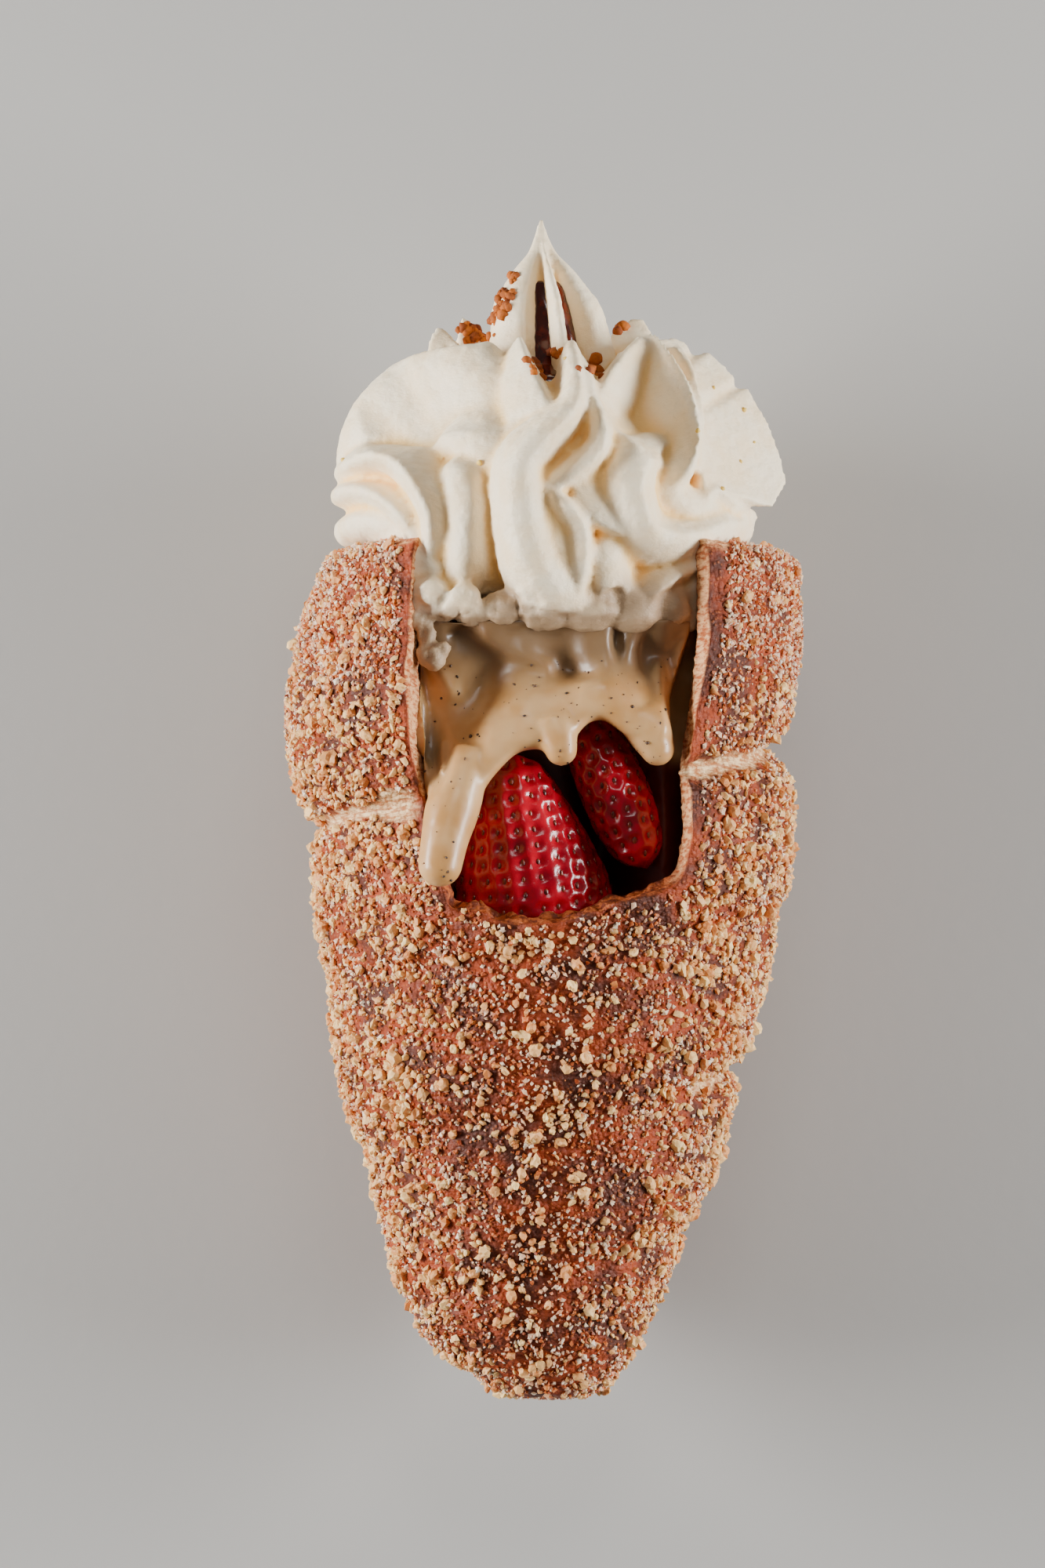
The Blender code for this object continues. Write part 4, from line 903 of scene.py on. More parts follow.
def opened_seams(points, depth, azimuth):
    """How much pale crumb shows at each point, from 0 to 1, because its seam has opened."""
    shown = np.zeros(len(points))
    uneven = 0.7 * ripple(points, 3.0, 2.9) + 0.3 * ripple(points, 1.0, 5.1)
    for i, (a, z, d) in enumerate(zip(azimuth, points[:, 2], depth)):
        if d < CRUMB_REACH:
            from_seam, _, opened = seam(a, z)
            half = CRUMB_HALF[0] + CRUMB_HALF[1] * opened + CRUMB_RAGGED * uneven[i]
            if a < 0 and z < FLAP_TORN_BELOW:
                half += FLAP_TORN_WIDTH * (1 - ease(*FLAP_TORN_REACH, -a))
            beside = ease(half - CRUMB_SOFTNESS, half + CRUMB_SOFTNESS, from_seam)
            shown[i] = ease(*CRUMB_FROM_DEPTH, opened) * (1 - beside)
    return shown


def roughness_of(points, cut, open_seam):
    """How far each point of the dough moves out: gently on the crust, in tears and flakes where bare."""
    below = eased(*TORN_BETWEEN, points[:, 2]) * inside_window(points, TORN_MARGIN)
    relief = 0.35 * ripple(points, 3.2) + 0.2 * ripple(points, 1.5, 7.3)
    torn = 1.3 * ripple(points, 3.0, 3.1) + 0.7 * ripple(points, 1.4, 9.7)
    flakes = 0.5 * ripple(points * np.array((0.35, 0.35, 1.0)), 0.9, 5.5)
    on_crust = relief * (1 - np.maximum(cut, open_seam)) - 0.3
    on_walls = (torn * below + flakes * 0.8) * np.maximum(cut, below * 0.6)
    return on_crust + on_walls + flakes * open_seam


def build_dough(sizes, colours):
    """The wound dough, cut and torn, which keeps where it is bare and where the coating lies."""
    dough = cut_dough(sizes)
    mesh = dough.data
    points = coordinates(mesh)
    depth, azimuth = below_crust(points)
    cut = inside_window(points, WALL_MARGIN) * eased(*WALL_BELOW, depth)
    open_seam = opened_seams(points, depth, azimuth)
    ragged = 0.9 * ripple(points, 2.2, 6.4)
    lip = cut * eased(*LIP_BETWEEN, points[:, 2] + 2.0 * ragged)
    normals = upright_normals(mesh)
    place(mesh, points + normals * roughness_of(points, cut, open_seam)[:, None])
    keep_on(mesh, "pale", open_seam)
    keep_on(mesh, "wall", np.clip(cut - lip, 0.0, 1.0))
    keep_on(mesh, "lip", lip)
    on_rim = (points[:, 2] > RIM_START - 1.0) & (depth < COAT_BELOW_RIM)
    crusty = 1 - eased(0.1, 0.6, np.maximum(cut, open_seam))
    coat = crusty * ((depth < COAT_BELOW) | on_rim) * (~inside_window(points, COAT_MARGIN))
    keep_on(mesh, "coat", coat)
    return finish_piece(dough, crust_finish(colours), "sugared_crust", "dough_cone")


# ---------------------------------------------------------------- grains


def crystal():
    """Eight faces, like a grain of sugar."""
    points = np.array([(1, 0, 0), (-1, 0, 0), (0, 1, 0), (0, -1, 0), (0, 0, 1), (0, 0, -1)], float)
    faces = [(4, 0, 2), (4, 2, 1), (4, 1, 3), (4, 3, 0), (5, 2, 0), (5, 1, 2), (5, 3, 1), (5, 0, 3)]
    return points, np.array(faces)


def lump(detail):
    """A rounded lump, like a crumb."""
    shape = bmesh.new()
    bmesh.ops.create_icosphere(shape, subdivisions=detail, radius=1.0)
    points = np.array([v.co[:] for v in shape.verts])
    faces = np.array([[v.index for v in f.verts] for f in shape.faces])
    shape.free()
    return points, faces


def scattered(dough, count, chance, weigh):
    """Places on the dough's coated crust, and which way is out there. weigh tells how likely each one is."""
    mesh = dough.data
    mesh.calc_loop_triangles()
    triangles = np.empty(len(mesh.loop_triangles) * 3, np.int64)
    mesh.loop_triangles.foreach_get("vertices", triangles)
    triangles = triangles.reshape(-1, 3)
    points, normals = coordinates(mesh), upright_normals(mesh)
    coat = np.empty(len(mesh.vertices), np.float32)
    mesh.attributes["coat"].data.foreach_get("value", coat)
    a, b, c = points[triangles[:, 0]], points[triangles[:, 1]], points[triangles[:, 2]]
    likely = np.linalg.norm(np.cross(b - a, c - a), axis=1) * coat[triangles].min(axis=1)
    likely *= weigh((a + b + c) / 3)
    chosen = chance.choice(len(triangles), count, p=likely / likely.sum())
    u, v = chance.random_sample(count), chance.random_sample(count)
    over = u + v > 1
    u[over], v[over] = 1 - u[over], 1 - v[over]
    spot = a[chosen] + (b - a)[chosen] * u[:, None] + (c - a)[chosen] * v[:, None]
    return spot, normals[triangles[chosen, 0]]


def grains(name, form, centres, sizes, chance, squash=(0.7, 1.2), rough=0.14):
    """One mesh of many grains, each turned, stretched and toned in its own way."""
    base, faces = form
    count, corners = len(centres), len(base)
    turns = chance.normal(size=(count, 4))
    turns /= np.linalg.norm(turns, axis=1)[:, None]
    w, x, y, z = turns.T
    spin = np.stack([
        1 - 2 * (y * y + z * z), 2 * (x * y - w * z), 2 * (x * z + w * y),
        2 * (x * y + w * z), 1 - 2 * (x * x + z * z), 2 * (y * z - w * x),
        2 * (x * z - w * y), 2 * (y * z + w * x), 1 - 2 * (x * x + y * y),
    ], axis=1).reshape(count, 3, 3)
    stretch = chance.uniform(*squash, (count, 1, 3))
    shapes = base[None] * stretch * (1 + rough * chance.normal(size=(count, corners, 1)))
    shapes = np.einsum("nij,nkj->nki", spin, shapes) * (sizes / 2)[:, None, None] + centres[:, None]
    world = (shapes.reshape(-1, 3) * MM) @ np.array(LIE)[:3, :3].T + np.array(LIE)[:3, 3]
    world = world.reshape(count, corners, 3)
    low, high = np.array(CAD_BOX)
    fits = ((world > low + 0.00005) & (world < high - 0.00005)).all(axis=(1, 2))
    world, tone = world[fits], chance.beta(1.6, 1.6, count)[fits]
    count = len(world)
    mesh = bpy.data.meshes.new(name)
    mesh.vertices.add(count * corners)
    mesh.vertices.foreach_set("co", world.astype(np.float32).ravel())
    all_faces = (faces[None] + (np.arange(count) * corners)[:, None, None]).reshape(-1, 3)
    mesh.loops.add(len(all_faces) * 3)
    mesh.loops.foreach_set("vertex_index", all_faces.ravel().astype(np.int32))
    mesh.polygons.add(len(all_faces))
    mesh.polygons.foreach_set("loop_start", np.arange(0, len(all_faces) * 3, 3, dtype=np.int32))
    mesh.update(calc_edges=True)
    mesh.validate()
    keep_on(mesh, "tone", np.repeat(tone, corners))
    made = bpy.data.objects.new(name, mesh)
    bpy.context.scene.collection.objects.link(made)
    return made


def nuts_likely(points):
    """Nuts lie thicker on the left side and low on the right, and thinner in the middle."""
    x, z = points[:, 0], points[:, 2]
    side = 0.5 + 0.8 * eased(-8.0, -30.0, x) + 0.6 * eased(14.0, 34.0, x) * eased(118.0, 96.0, z)
    clumps = 0.35 + np.clip(ripple(points, 9.0, 2.2) + 0.45, 0.0, 1.2)
    return side * clumps * (1 - 0.6 * eased(120.0, 138.0, z))


def sugar_likely(points):
    """Sugar lies in loose clumps, and thicker near the mouth."""
    clumps = 0.45 + np.clip(ripple(points, 6.0, 4.4) + 0.5, 0.0, 1.2)
    return clumps * (1 + 1.2 * eased(120.0, 138.0, points[:, 2]))


def build_coating(dough, sizes, colours):
    """Scatters the nuts and the two sugars over the crust, each kind as one piece."""
    chance = np.random.RandomState(11)
    nut = grain_finish("chopped_nuts", colours.nut_dark, colours.nut, 0.55, 0.25, 0.5)
    white = grain_finish("sugar_crystals", colours.sugar_shade, colours.sugar, 0.3, 0.5, 0.3)
    spiced = grain_finish("cinnamon_sugar", colours.cinnamon, colours.cinnamon_sugar, 0.42, 0.35, 0.3)
    # Each kind's name, form and count, its sizes in mm and how much small ones prevail, where it is likely to
    # lie, its material, how far out its middle stands for its size, and how uneven it is
    wanted = (
        ("nut_pieces", lump(2), sizes.nut_pieces, 1.2, 2.6, 1.8, nuts_likely, nut, 0.22, 0.17),
        ("nut_crumbs", lump(1), sizes.nut_crumbs, 0.9, 1.9, 1.5, nuts_likely, nut, 0.2, 0.24),
        ("sugar_crystals", crystal(), sizes.sugar_crystals, 0.5, 1.35, 1.2, sugar_likely, white, 0.18, 0.2),
        ("cinnamon_sugar", crystal(), sizes.spiced_crystals, 0.5, 1.25, 1.2, sugar_likely, spiced, 0.14, 0.2),
    )
    for name, form, count, small, large, prevail, weigh, material, stands_out, rough in wanted:
        spots, out = scattered(dough, count, chance, weigh)
        size = small + (large - small) * chance.random_sample(count) ** prevail
        centres = spots + out * (size * stands_out)[:, None]
        made = grains(name, form, centres, size, chance, squash=(0.55, 1.2), rough=rough)
        finish_piece(made, material, "sugared_crust")
        made.data.shade_flat()


# ---------------------------------------------------------------- the cream


def relief_of(ridges, spots):
    """The most that any of the ridges rises at each spot (across, height)."""
    most = np.zeros(len(spots))
    for points, right, left in ridges:
        steps = (len(points) - 1) * RIDGE_STEPS
        fine = np.array([along(points, i / RIDGE_STEPS) for i in range(steps + 1)])
        nearest = np.full(len(spots), np.inf)
        rise, side, share = np.zeros((3, len(spots)))
        for i, (a, b) in enumerate(zip(fine, fine[1:])):
            step, to = b[:2] - a[:2], spots - a[:2]
            t = np.clip(to @ step / (step @ step), 0.0, 1.0)
            distance = np.hypot(*(to - t[:, None] * step).T)
            closer = distance < nearest
            nearest[closer] = distance[closer]
            rise[closer] = (a[2] + (b[2] - a[2]) * t)[closer]
            side[closer] = (step[0] * to[:, 1] - step[1] * to[:, 0])[closer]
            share[closer] = ((i + t) / steps)[closer]
        on_right, on_left = (first + (last - first) * share for first, last, _ in (right, left))
        width, hollow = np.where(side > 0, on_right, on_left), np.where(side > 0, right[2], left[2])
        u = np.clip((np.hypot(nearest, RIDGE_ROUND) - RIDGE_ROUND) / width, 0.0, 1.0)
        most = np.maximum(most, rise * (hollow * (1 - u) ** 3 + (1 - hollow) * (1 - u * u)))
    return most


def kept_in_mouth(x, y, z):
    """Below the rim the cream stays inside the dough, apart from what hangs into the window."""
    azimuth, radius = math.degrees(math.atan2(x - CREAM_ASIDE, -y)), math.hypot(x - CREAM_ASIDE, y)
    height = max(z, through(FOLD_ENDS, x) if y < -20.0 else CREAM_FLOOR)
    middle, half = sum(WINDOW_SIDES) / 2, (WINDOW_SIDES[1] - WINDOW_SIDES[0]) / 2
    beside = ease(half - SIDE_SOFTNESS, half + SIDE_SOFTNESS, abs(azimuth - middle))
    inside = beside * (1 - ease(*MOUTH_EDGE, height))
    most = MOUTH_REACH + lean(azimuth, height)
    return turned(azimuth, radius + (min(radius, most) - radius) * inside, height, CREAM_ASIDE)


def cream_mound():
    """The piped mound: a smooth body that stands out by the ridges seen there from in front."""
    rows, columns, points, outward = MOUND_ROWS, MOUND_COLUMNS, [], []
    path = [along(MOUND_PATH, (len(MOUND_PATH) - 1) * i / rows) for i in range(rows + 1)]
    for i, (radius, height) in enumerate(path):
        before, after = path[max(i - 1, 0)], path[min(i + 1, rows)]
        down, out = before[1] - after[1], after[0] - before[0]
        length = math.hypot(down, out)
        for j in range(columns):
            azimuth = 360.0 * j / columns
            points.append(turned(azimuth, radius, height, CREAM_ASIDE))
            outward.append(turned(azimuth, down / length, out / length))
    points, outward = np.array(points), np.array(outward)
    least, reach, most = RIDGE_REACH
    reach = np.full(len(points), reach)
    for _ in range(3):
        spots = (points + outward * reach[:, None])[:, [0, 2]]
        rise = relief_of(RIDGES, spots)
        reach = np.clip((reach + rise + 1.0) / 2, least, most)
    moved = points + outward * (rise - relief_of(DENTS, spots))[:, None]
    kept = [kept_in_mouth(*point) for point in moved.tolist()]
    return ringed("mound", [kept[i:i + columns] for i in range(0, len(kept), columns)])


def between_points(points, at):
    """The point at a place, counted in points, on straight lines from point to point."""
    i = min(int(at), len(points) - 2)
    return Vector(points[i]).lerp(Vector(points[i + 1]), at - i)


def fin(edge, root, thick):
    """A thin fin from its torn edge to its root, where it is as thick as given."""
    count, rings = (len(edge) - 1) * FIN_STEPS, []
    places = [between_points(edge, i / FIN_STEPS) for i in range(count + 1)]
    for i, place in enumerate(places):
        ahead = places[min(i + 1, count)] - places[max(i - 1, 0)]
        inward = Vector(along(root, (len(root) - 1) * i / count)) - place
        across = inward.cross(ahead).normalized()
        ring = []
        for face in (1, -1):
            for layer in range(FIN_LAYERS + 1)[::face]:
                share = layer / FIN_LAYERS
                half = FIN_EDGE + (thick - FIN_EDGE) * share ** 1.2
                ring.append(place + inward * share + across * half * face)
        rings.append([Vector((x, -forward, height)) for x, forward, height in ring])
    return ringed("fin", rings)


def spire_aside(height):
    """The peak's axis leans back to the left towards its top."""
    return CREAM_ASIDE - SPIRE_LEAN * ease(SPIRE_LEANS_FROM, SPIRE_PATH[0][1], height)


def spire():
    """The slotted peak."""
    rings = []
    for i in range(SPIRE_ROWS + 1):
        radius, height = along(SPIRE_PATH, i * (len(SPIRE_PATH) - 1) / SPIRE_ROWS)
        azimuths = [360.0 * j / SPIRE_COLUMNS - 180 for j in range(SPIRE_COLUMNS)]
        aside = spire_aside(height)
        rings.append([turned(a, radius * through(SPIRE_ROUND, a), height, aside) for a in azimuths])
    return ringed("spire", rings)


def blob(across, forward, height, half_width, half_height):
    """A soft lump, as a stretched ball of rings."""
    rings, rows, columns = [], 12, 20
    for i in range(1, rows):
        turn = math.pi * i / rows
        middle = Vector((across, -forward, height + half_height * math.cos(turn)))
        ring = []
        for j in range(columns):
            angle = math.tau * j / columns
            push = 1 + 0.25 * noise.noise(Vector((math.cos(angle), math.sin(angle), across + 2 * turn)))
            reach = half_width * math.sin(turn) * push
            ring.append(middle + Vector((math.cos(angle) * reach, math.sin(angle) * reach * 0.7, 0)))
        rings.append(ring)
    return ringed("blob", rings)


def creases(mesh, points, normals, rounds):
    """How far each point lies below its surroundings, in millimetres."""
    ends = np.empty(len(mesh.edges) * 2, np.int64)
    mesh.edges.foreach_get("vertices", ends)
    a, b = ends[0::2], ends[1::2]
    count = len(points)
    share = np.bincount(a, minlength=count) + np.bincount(b, minlength=count)
    soft = points.copy()
    for _ in range(rounds):
        for axis in range(3):
            column = soft[:, axis]
            total = np.bincount(a, column[b], count) + np.bincount(b, column[a], count)
            soft[:, axis] = total / np.maximum(share, 1)
    return ((soft - points) * normals).sum(axis=1)


def build_cream(sizes, colours):
    """The piped mound with its peak, fins and sagged lumps, as one skin."""
    pieces = [cream_mound(), spire(), *(fin(*spec) for spec in FINS)]
    pieces += [blob(*place) for place in CREAM_LUMPS]
    cream = remeshed(joined("piped_cream", pieces), sizes.cream_voxel, 1)
    mesh = cream.data
    points, normals = coordinates(mesh), upright_normals(mesh)
    across, forward, height = points[:, 0], -points[:, 1], points[:, 2]
    in_window = eased(*IN_WINDOW, forward)
    sagged = eased(*SAGGED_BETWEEN, height) * in_window
    whipped = 0.16 * ripple(points * np.array((0.6, 1.0, 1.0)), 0.9, 1.7) + 0.12 * ripple(points, 3.8, 3.3)
    curly = 0.8 * ripple(points, 2.4, 8.1) + 0.4 * ripple(points, 1.1, 4.6)
    moved = whipped * eased(*SMOOTH_FROM, height) + sagged * curly * eased(*SAGGED_LEFT_OF, across) - 0.1
    place(mesh, points + normals * moved[:, None])
    below = creases(mesh, points, normals, 40)
    # Yellow painted shade deep in the folds, fading out near the tip
    keep_on(mesh, "deep", eased(0.05, 0.9, below) * eased(*PALE_FROM, height))
    # Melted cream greyed with painted shade, low and far back in the window
    behind = eased(*MELT_SHADE_BEHIND, forward) * eased(*MELT_SHADE_RIGHT_OF, across)
    melted_and_shaded = np.maximum(eased(*MELT_SHADE_BETWEEN, height) * behind, eased(*MELT_SHADE_BELOW, height))
    keep_on(mesh, "melted_and_shaded", melted_and_shaded * in_window)
    finish_piece(cream, cream_finish(colours), "cream", "whipped_cream")
    return cream


def build_sauce(colours):
    """The dark sauce that fills the grooves of the spire and the hollow round its foot."""
    rings = []
    for i in range(SAUCE_ROWS + 1):
        radius, height = along(SAUCE_PATH, i * (len(SAUCE_PATH) - 1) / SAUCE_ROWS)
        ring = []
        for j in range(SAUCE_COLUMNS):
            angle = math.tau * j / SAUCE_COLUMNS
            spot = Vector((math.cos(angle) * 3, math.sin(angle) * 3, height / 4))
            reach = radius + SAUCE_UNEVEN * noise.noise(spot)
            ring.append(turned(360.0 * j / SAUCE_COLUMNS, reach, height, spire_aside(height)))
        rings.append(ring)
    sauce = ringed("chocolate_sauce", rings)
    finish = plain_finish("chocolate", colours.chocolate, colours.chocolate_pale, 0.16, 0.6, 0.05, 2.0)
    finish_piece(sauce, finish, "cream")


# Biscuit crumbs caught in the cream: across and height of each cluster's middle, its spread and its count
CRUMB_CLUSTERS = (
    (-11.6, 190.4, 2.0, 40), (-13.2, 191.4, 1.0, 12), (-8.3, 194.2, 1.6, 26), (-6.6, 197.4, 1.2, 16),
    (-5.2, 200.4, 0.8, 9), (13.9, 192.2, 1.0, 12), (-0.3, 183.4, 1.6, 30), (9.0, 183.4, 1.5, 28),
    (2.2, 186.4, 0.8, 8),
)
# Yellow flecks on the cream, as (across, height)
FLECKS = (
    (35.6, 176.6), (34.8, 167.2), (30.2, 180.4), (40.0, 158.8), (-11.2, 166.2), (-35.4, 167.6),
    (-36.0, 176.0), (27.0, 172.0), (37.4, 170.8), (3.8, 184.8), (-8.6, 193.6), (31.4, 162.0),
)


def seen_surface(piece):
    """The surface of a piece, for seen_at."""
    mesh = piece.data
    faces = [tuple(f.vertices) for f in mesh.polygons]
    return BVHTree.FromPolygons([tuple(p) for p in coordinates(mesh)], faces)


def seen_at(surface, across, height):
    """The place that is seen from in front at a spot, or None."""
    return surface.ray_cast(Vector((across, -90.0, height)), Vector((0, 1, 0)))[0]


def landed(surface, spots):
    """The places that are seen from in front at the spots, leaving out those beside the piece."""
    found = [seen_at(surface, across, height) for across, height in spots]
    return np.array([tuple(place) for place in found if place])


def build_biscuit(cream, colours):
    """Crumbs and flecks that lie where they are seen from in front, on the cream's own surface."""
    chance = np.random.RandomState(5)
    surface, spots = seen_surface(cream), []
    for x, z, spread, count in CRUMB_CLUSTERS:
        spots += [(x + dx, z + dz) for dx, dz in chance.normal(scale=spread * 0.6, size=(count, 2))]
    centres = landed(surface, spots)
    sizes = chance.uniform(0.7, 2.1, len(centres))
    crumbs = grains("biscuit_crumbs", lump(2), centres, sizes, chance)
    baked = grain_finish("biscuit", colours.biscuit_dark, colours.biscuit, 0.8, 0.0, 0.4)
    finish_piece(crumbs, baked, "cream")
    centres = landed(surface, FLECKS)
    flecks = grains("yellow_flecks", lump(2), centres, chance.uniform(0.5, 1.1, len(centres)), chance)
    finish_piece(flecks, grain_finish("flecks", colours.fleck, colours.fleck, 0.6, 0.1, 0.4), "cream")


# ---------------------------------------------------------------- the filling


def custard_body():
    """The custard in the window's reach, drawn back in front where the strawberries sit."""
    rings, rows, columns = [], 44, 120
    for i in range(rows + 1):
        height = CUSTARD_SHOWN_FROM + (CUSTARD_TOP - CUSTARD_SHOWN_FROM) * i / rows
        hollow_here = HOLLOW_DEPTH * ease(*HOLLOW_BOTTOM, height) * (1 - ease(*HOLLOW_TOP, height))
        ring = []
        for j in range(columns):
            azimuth = 360.0 * j / columns
            facing = (azimuth + 180) % 360 - 180
            pocket = through(POCKET, height) * (1 - ease(*POCKET_HALF, abs(facing - POCKET_AZIMUTH)))
            hollow = hollow_here * (1 - ease(*HOLLOW_HALF, abs(facing - HOLLOW_AZIMUTH)))
            radius = inner_radius(azimuth, height) - CUSTARD_GAP - max(pocket, hollow)
            ring.append(turned(azimuth, radius, height, axis_aside(height)))
        rings.append(ring)
    return ringed("body", rings)


def custard_below():
    """The custard further down in the cone."""
    rings, columns = [], 40
    for height in (21.5, 29.0, 40.0, 54.0, 68.0, CUSTARD_SHOWN_FROM):
        ring = []
        for j in range(columns):
            azimuth = 360.0 * j / columns
            radius = inner_radius(azimuth, height) - CUSTARD_GAP
            ring.append(turned(azimuth, radius, height, axis_aside(height)))
        rings.append(ring)
    return ringed("below", rings)


def custard_sheet():
    """The custard that hangs in the window, thickest along its lower edge and drawn back higher up."""
    rings = []
    left, right = SHEET_EDGE[0][0], SHEET_EDGE[-1][0]
    top = CUSTARD_TOP - 0.5
    for i in range(SHEET_COLUMNS + 1):
        across = left + (right - left) * i / SHEET_COLUMNS
        edge, front = through(SHEET_EDGE, across), through(SHEET_FRONT, across)
        bend = ease(SHEET_BENDS_FROM, right, across)
        ring = []
        for k in range(SHEET_ROWS):
            height = edge + SHEET_LIP + (top - edge - SHEET_LIP) * (1 - k / SHEET_ROWS)
            back = SHEET_BACK * ease(0.0, 1.0, (height - edge - SHEET_LIP) / SHEET_SLOPE)
            back *= 1 - SHEET_RETURNS * ease(SHEET_RETURN_FROM, top, height)
            wave = 0.9 * noise.noise(Vector((across / 7.0, 3.0, height / 5.0)))
            wave *= ease(0.0, 8.0, height - edge)
            drawn = (through(SHEET_RIGHT, height) - right) * bend
            ring.append(Vector((across + drawn, back - front + wave, height)))
        for angle in range(20, 161, 14):
            turn = math.radians(angle)
            lip = SHEET_LIP * (1 - math.cos(turn))
            ring.append(Vector((across, lip - front, edge + SHEET_LIP * (1 - math.sin(turn)))))
        drawn = (SHEET_RIGHT[-1][1] - right) * bend
        at_foot, at_top = SHEET_INSIDE
        ring += [Vector((across, -at_foot, edge + SHEET_FOOT)), Vector((across + drawn, -at_top, top))]
        rings.append(ring)
    return ringed("sheet", rings)


def custard_run(points, radii):
    """One thick run of custard with a round end."""
    fine, sides, rings = 8, 24, []
    count = (len(points) - 1) * fine
    middles = [Vector((x, -y, z)) for x, y, z in (along(points, i / fine) for i in range(count + 1))]
    sizes = [through(list(enumerate(radii)), i / fine) for i in range(count + 1)]
    end = (middles[-1] - middles[-2]).normalized() * sizes[-1]
    for turn in (0.25, 0.5, 0.75, 1.0, 1.25, 1.45):
        middles.append(middles[count] + end * math.sin(turn))
        sizes.append(sizes[count] * math.cos(turn))
    for i, (middle, size) in enumerate(zip(middles, sizes)):
        ahead = (middles[min(i + 1, len(middles) - 1)] - middles[max(i - 1, 0)]).normalized()
        across = ahead.cross(Vector((0, 1, 0))).normalized()
        deep = across.cross(ahead)
        turns = [math.tau * j / sides for j in range(sides)]
        rings.append([middle + (across * math.cos(t) + deep * math.sin(t)) * size for t in turns])
    return ringed("run", rings)


def hollows_and_streaks(x, z, hanging):
    """How far the hanging custard moves out at each point (across, height), and how much painted shade its
    hollows get.
    """
    moved, shaded = np.zeros((2, len(x)))
    for across, height, wide, tall, depth, dark in CUSTARD_HOLLOWS:
        full = np.exp(-(((x - across) / wide) ** 2 + ((z - height) / tall) ** 2)) * hanging
        moved -= depth * full
        shaded = np.maximum(shaded, dark * full)
    for (x0, z0), (x1, z1), wide, rise in CUSTARD_STREAKS:
        step = np.array((x1 - x0, z1 - z0))
        to = np.stack((x - x0, z - z0), axis=1)
        t = np.clip(to @ step / (step @ step), 0.0, 1.0)
        away = np.hypot(*(to - t[:, None] * step).T)
        moved += rise * np.exp(-((away / wide) ** 2)) * hanging
    return moved, shaded


def build_custard(sizes, colours):
    """The custard: one skin where it shows, and a plain body further down."""
    pieces = [custard_body(), custard_sheet(), *(custard_run(*run) for run in RUNS)]
    shown = remeshed(joined("shown", pieces), sizes.custard_voxel, 6)
    custard = joined("custard_filling", [shown, custard_below()])
    mesh = custard.data
    points, normals = coordinates(mesh), upright_normals(mesh)
    forward, x, z = -points[:, 1], points[:, 0], points[:, 2]
    hanging = eased(*HANGING_FROM, forward)
    moved, shaded = hollows_and_streaks(x, z, hanging)
    moved += 0.28 * ripple(points, 5.0, 1.2) * hanging * eased(*UNEVEN_FROM, z)
    place(mesh, points + normals * moved[:, None])
    across = x - BESIDE_LEAN * np.maximum(z - BESIDE_LEANS_FROM, 0.0)
    beside = eased(*BESIDE_FROM, across) * (forward > BESIDE_FORWARD) * eased(*BESIDE_ABOVE, z)
    # Painted grey shade high in the window, under the cream
    greyed = eased(*GREYED_FROM, z + 1.6 * ripple(points, 6.0, 8.8))
    shaded = np.maximum(shaded, hanging * 0.85 * greyed)
    keep_on(mesh, "shaded", shaded * (1 - beside))
    # Juice stains mixed with painted shade deep behind the strawberries, and painted dark shade on the face
    # beside the sheet on the right
    stained_and_shaded = eased(*STAIN_SHADE_BEHIND, forward) * (forward > STAIN_SHADE_FORWARD) * eased(*STAIN_SHADE_BELOW, z)
    keep_on(mesh, "stained_and_shaded", np.maximum(stained_and_shaded * (1 - beside), 0.5 * beside))
    finish_piece(custard, custard_finish(colours), "custard", "vanilla_custard")
    return custard


def build_specks(custard, sizes, colours):
    """Vanilla specks on the custard that shows."""
    chance = np.random.RandomState(23)
    surface, found = seen_surface(custard), []
    while len(found) < sizes.vanilla_specks:
        x, z = chance.uniform(-22.0, 22.0), chance.uniform(93.0, 132.0)
        hit = seen_at(surface, x, z)
        if hit and hit.y < -27.5 and chance.random_sample() < 0.35 + 0.65 * ease(-8.0, 12.0, x):
            found.append(tuple(hit))
    centres = np.array(found)
    size = 0.24 + 0.5 * chance.random_sample(len(centres)) ** 2.5
    specks = grains("vanilla_specks", lump(1), centres, size, chance, squash=(0.5, 1.3))
    dark = grain_finish("vanilla", colours.vanilla, colours.vanilla_pale, 0.5, 0.0, 0.4)
    finish_piece(specks, dark, "custard")


# ---------------------------------------------------------------- strawberries


def berry_surface(base, tip, radius, flatness, outline, share, turn):
    """A point on a strawberry, and which way is out, at a share of its length and a turn about it."""
    base, tip = Vector(base), Vector(tip)
    axis = (tip - base).normalized()
    across = Vector((0, 1, 0)).cross(axis).normalized()
    deep = axis.cross(across)
    half = radius * through(outline, share)
    sideways = across * math.cos(turn) + deep * flatness * math.sin(turn)
    out = (across * math.cos(turn) + deep * math.sin(turn) / flatness + axis * 0.35).normalized()
    return base + axis * share * (tip - base).length + sideways * half, out


def seeds_on(base, tip, radius, flatness, outline):
    """The places of the seeds: rows round the fruit, each turned half a step from the last."""
    length = (Vector(tip) - Vector(base)).length
    places, row, at = [], 0, 1.6
    while at < length - 0.8:
        share = at / length
        around = math.tau * radius * through(outline, share) * (1 + flatness) / 2
        count = max(round(around / SEED_SPACING), 3)
        for j in range(count):
            wobble = 0.25 * noise.noise(Vector((j * 1.7, row * 2.3, radius)))
            turn = math.tau * (j + 0.5 * (row % 2) + wobble) / count
            places.append(berry_surface(base, tip, radius, flatness, outline, share + wobble * 0.02, turn))
        at += SEED_SPACING * 0.82
        row += 1
    return places


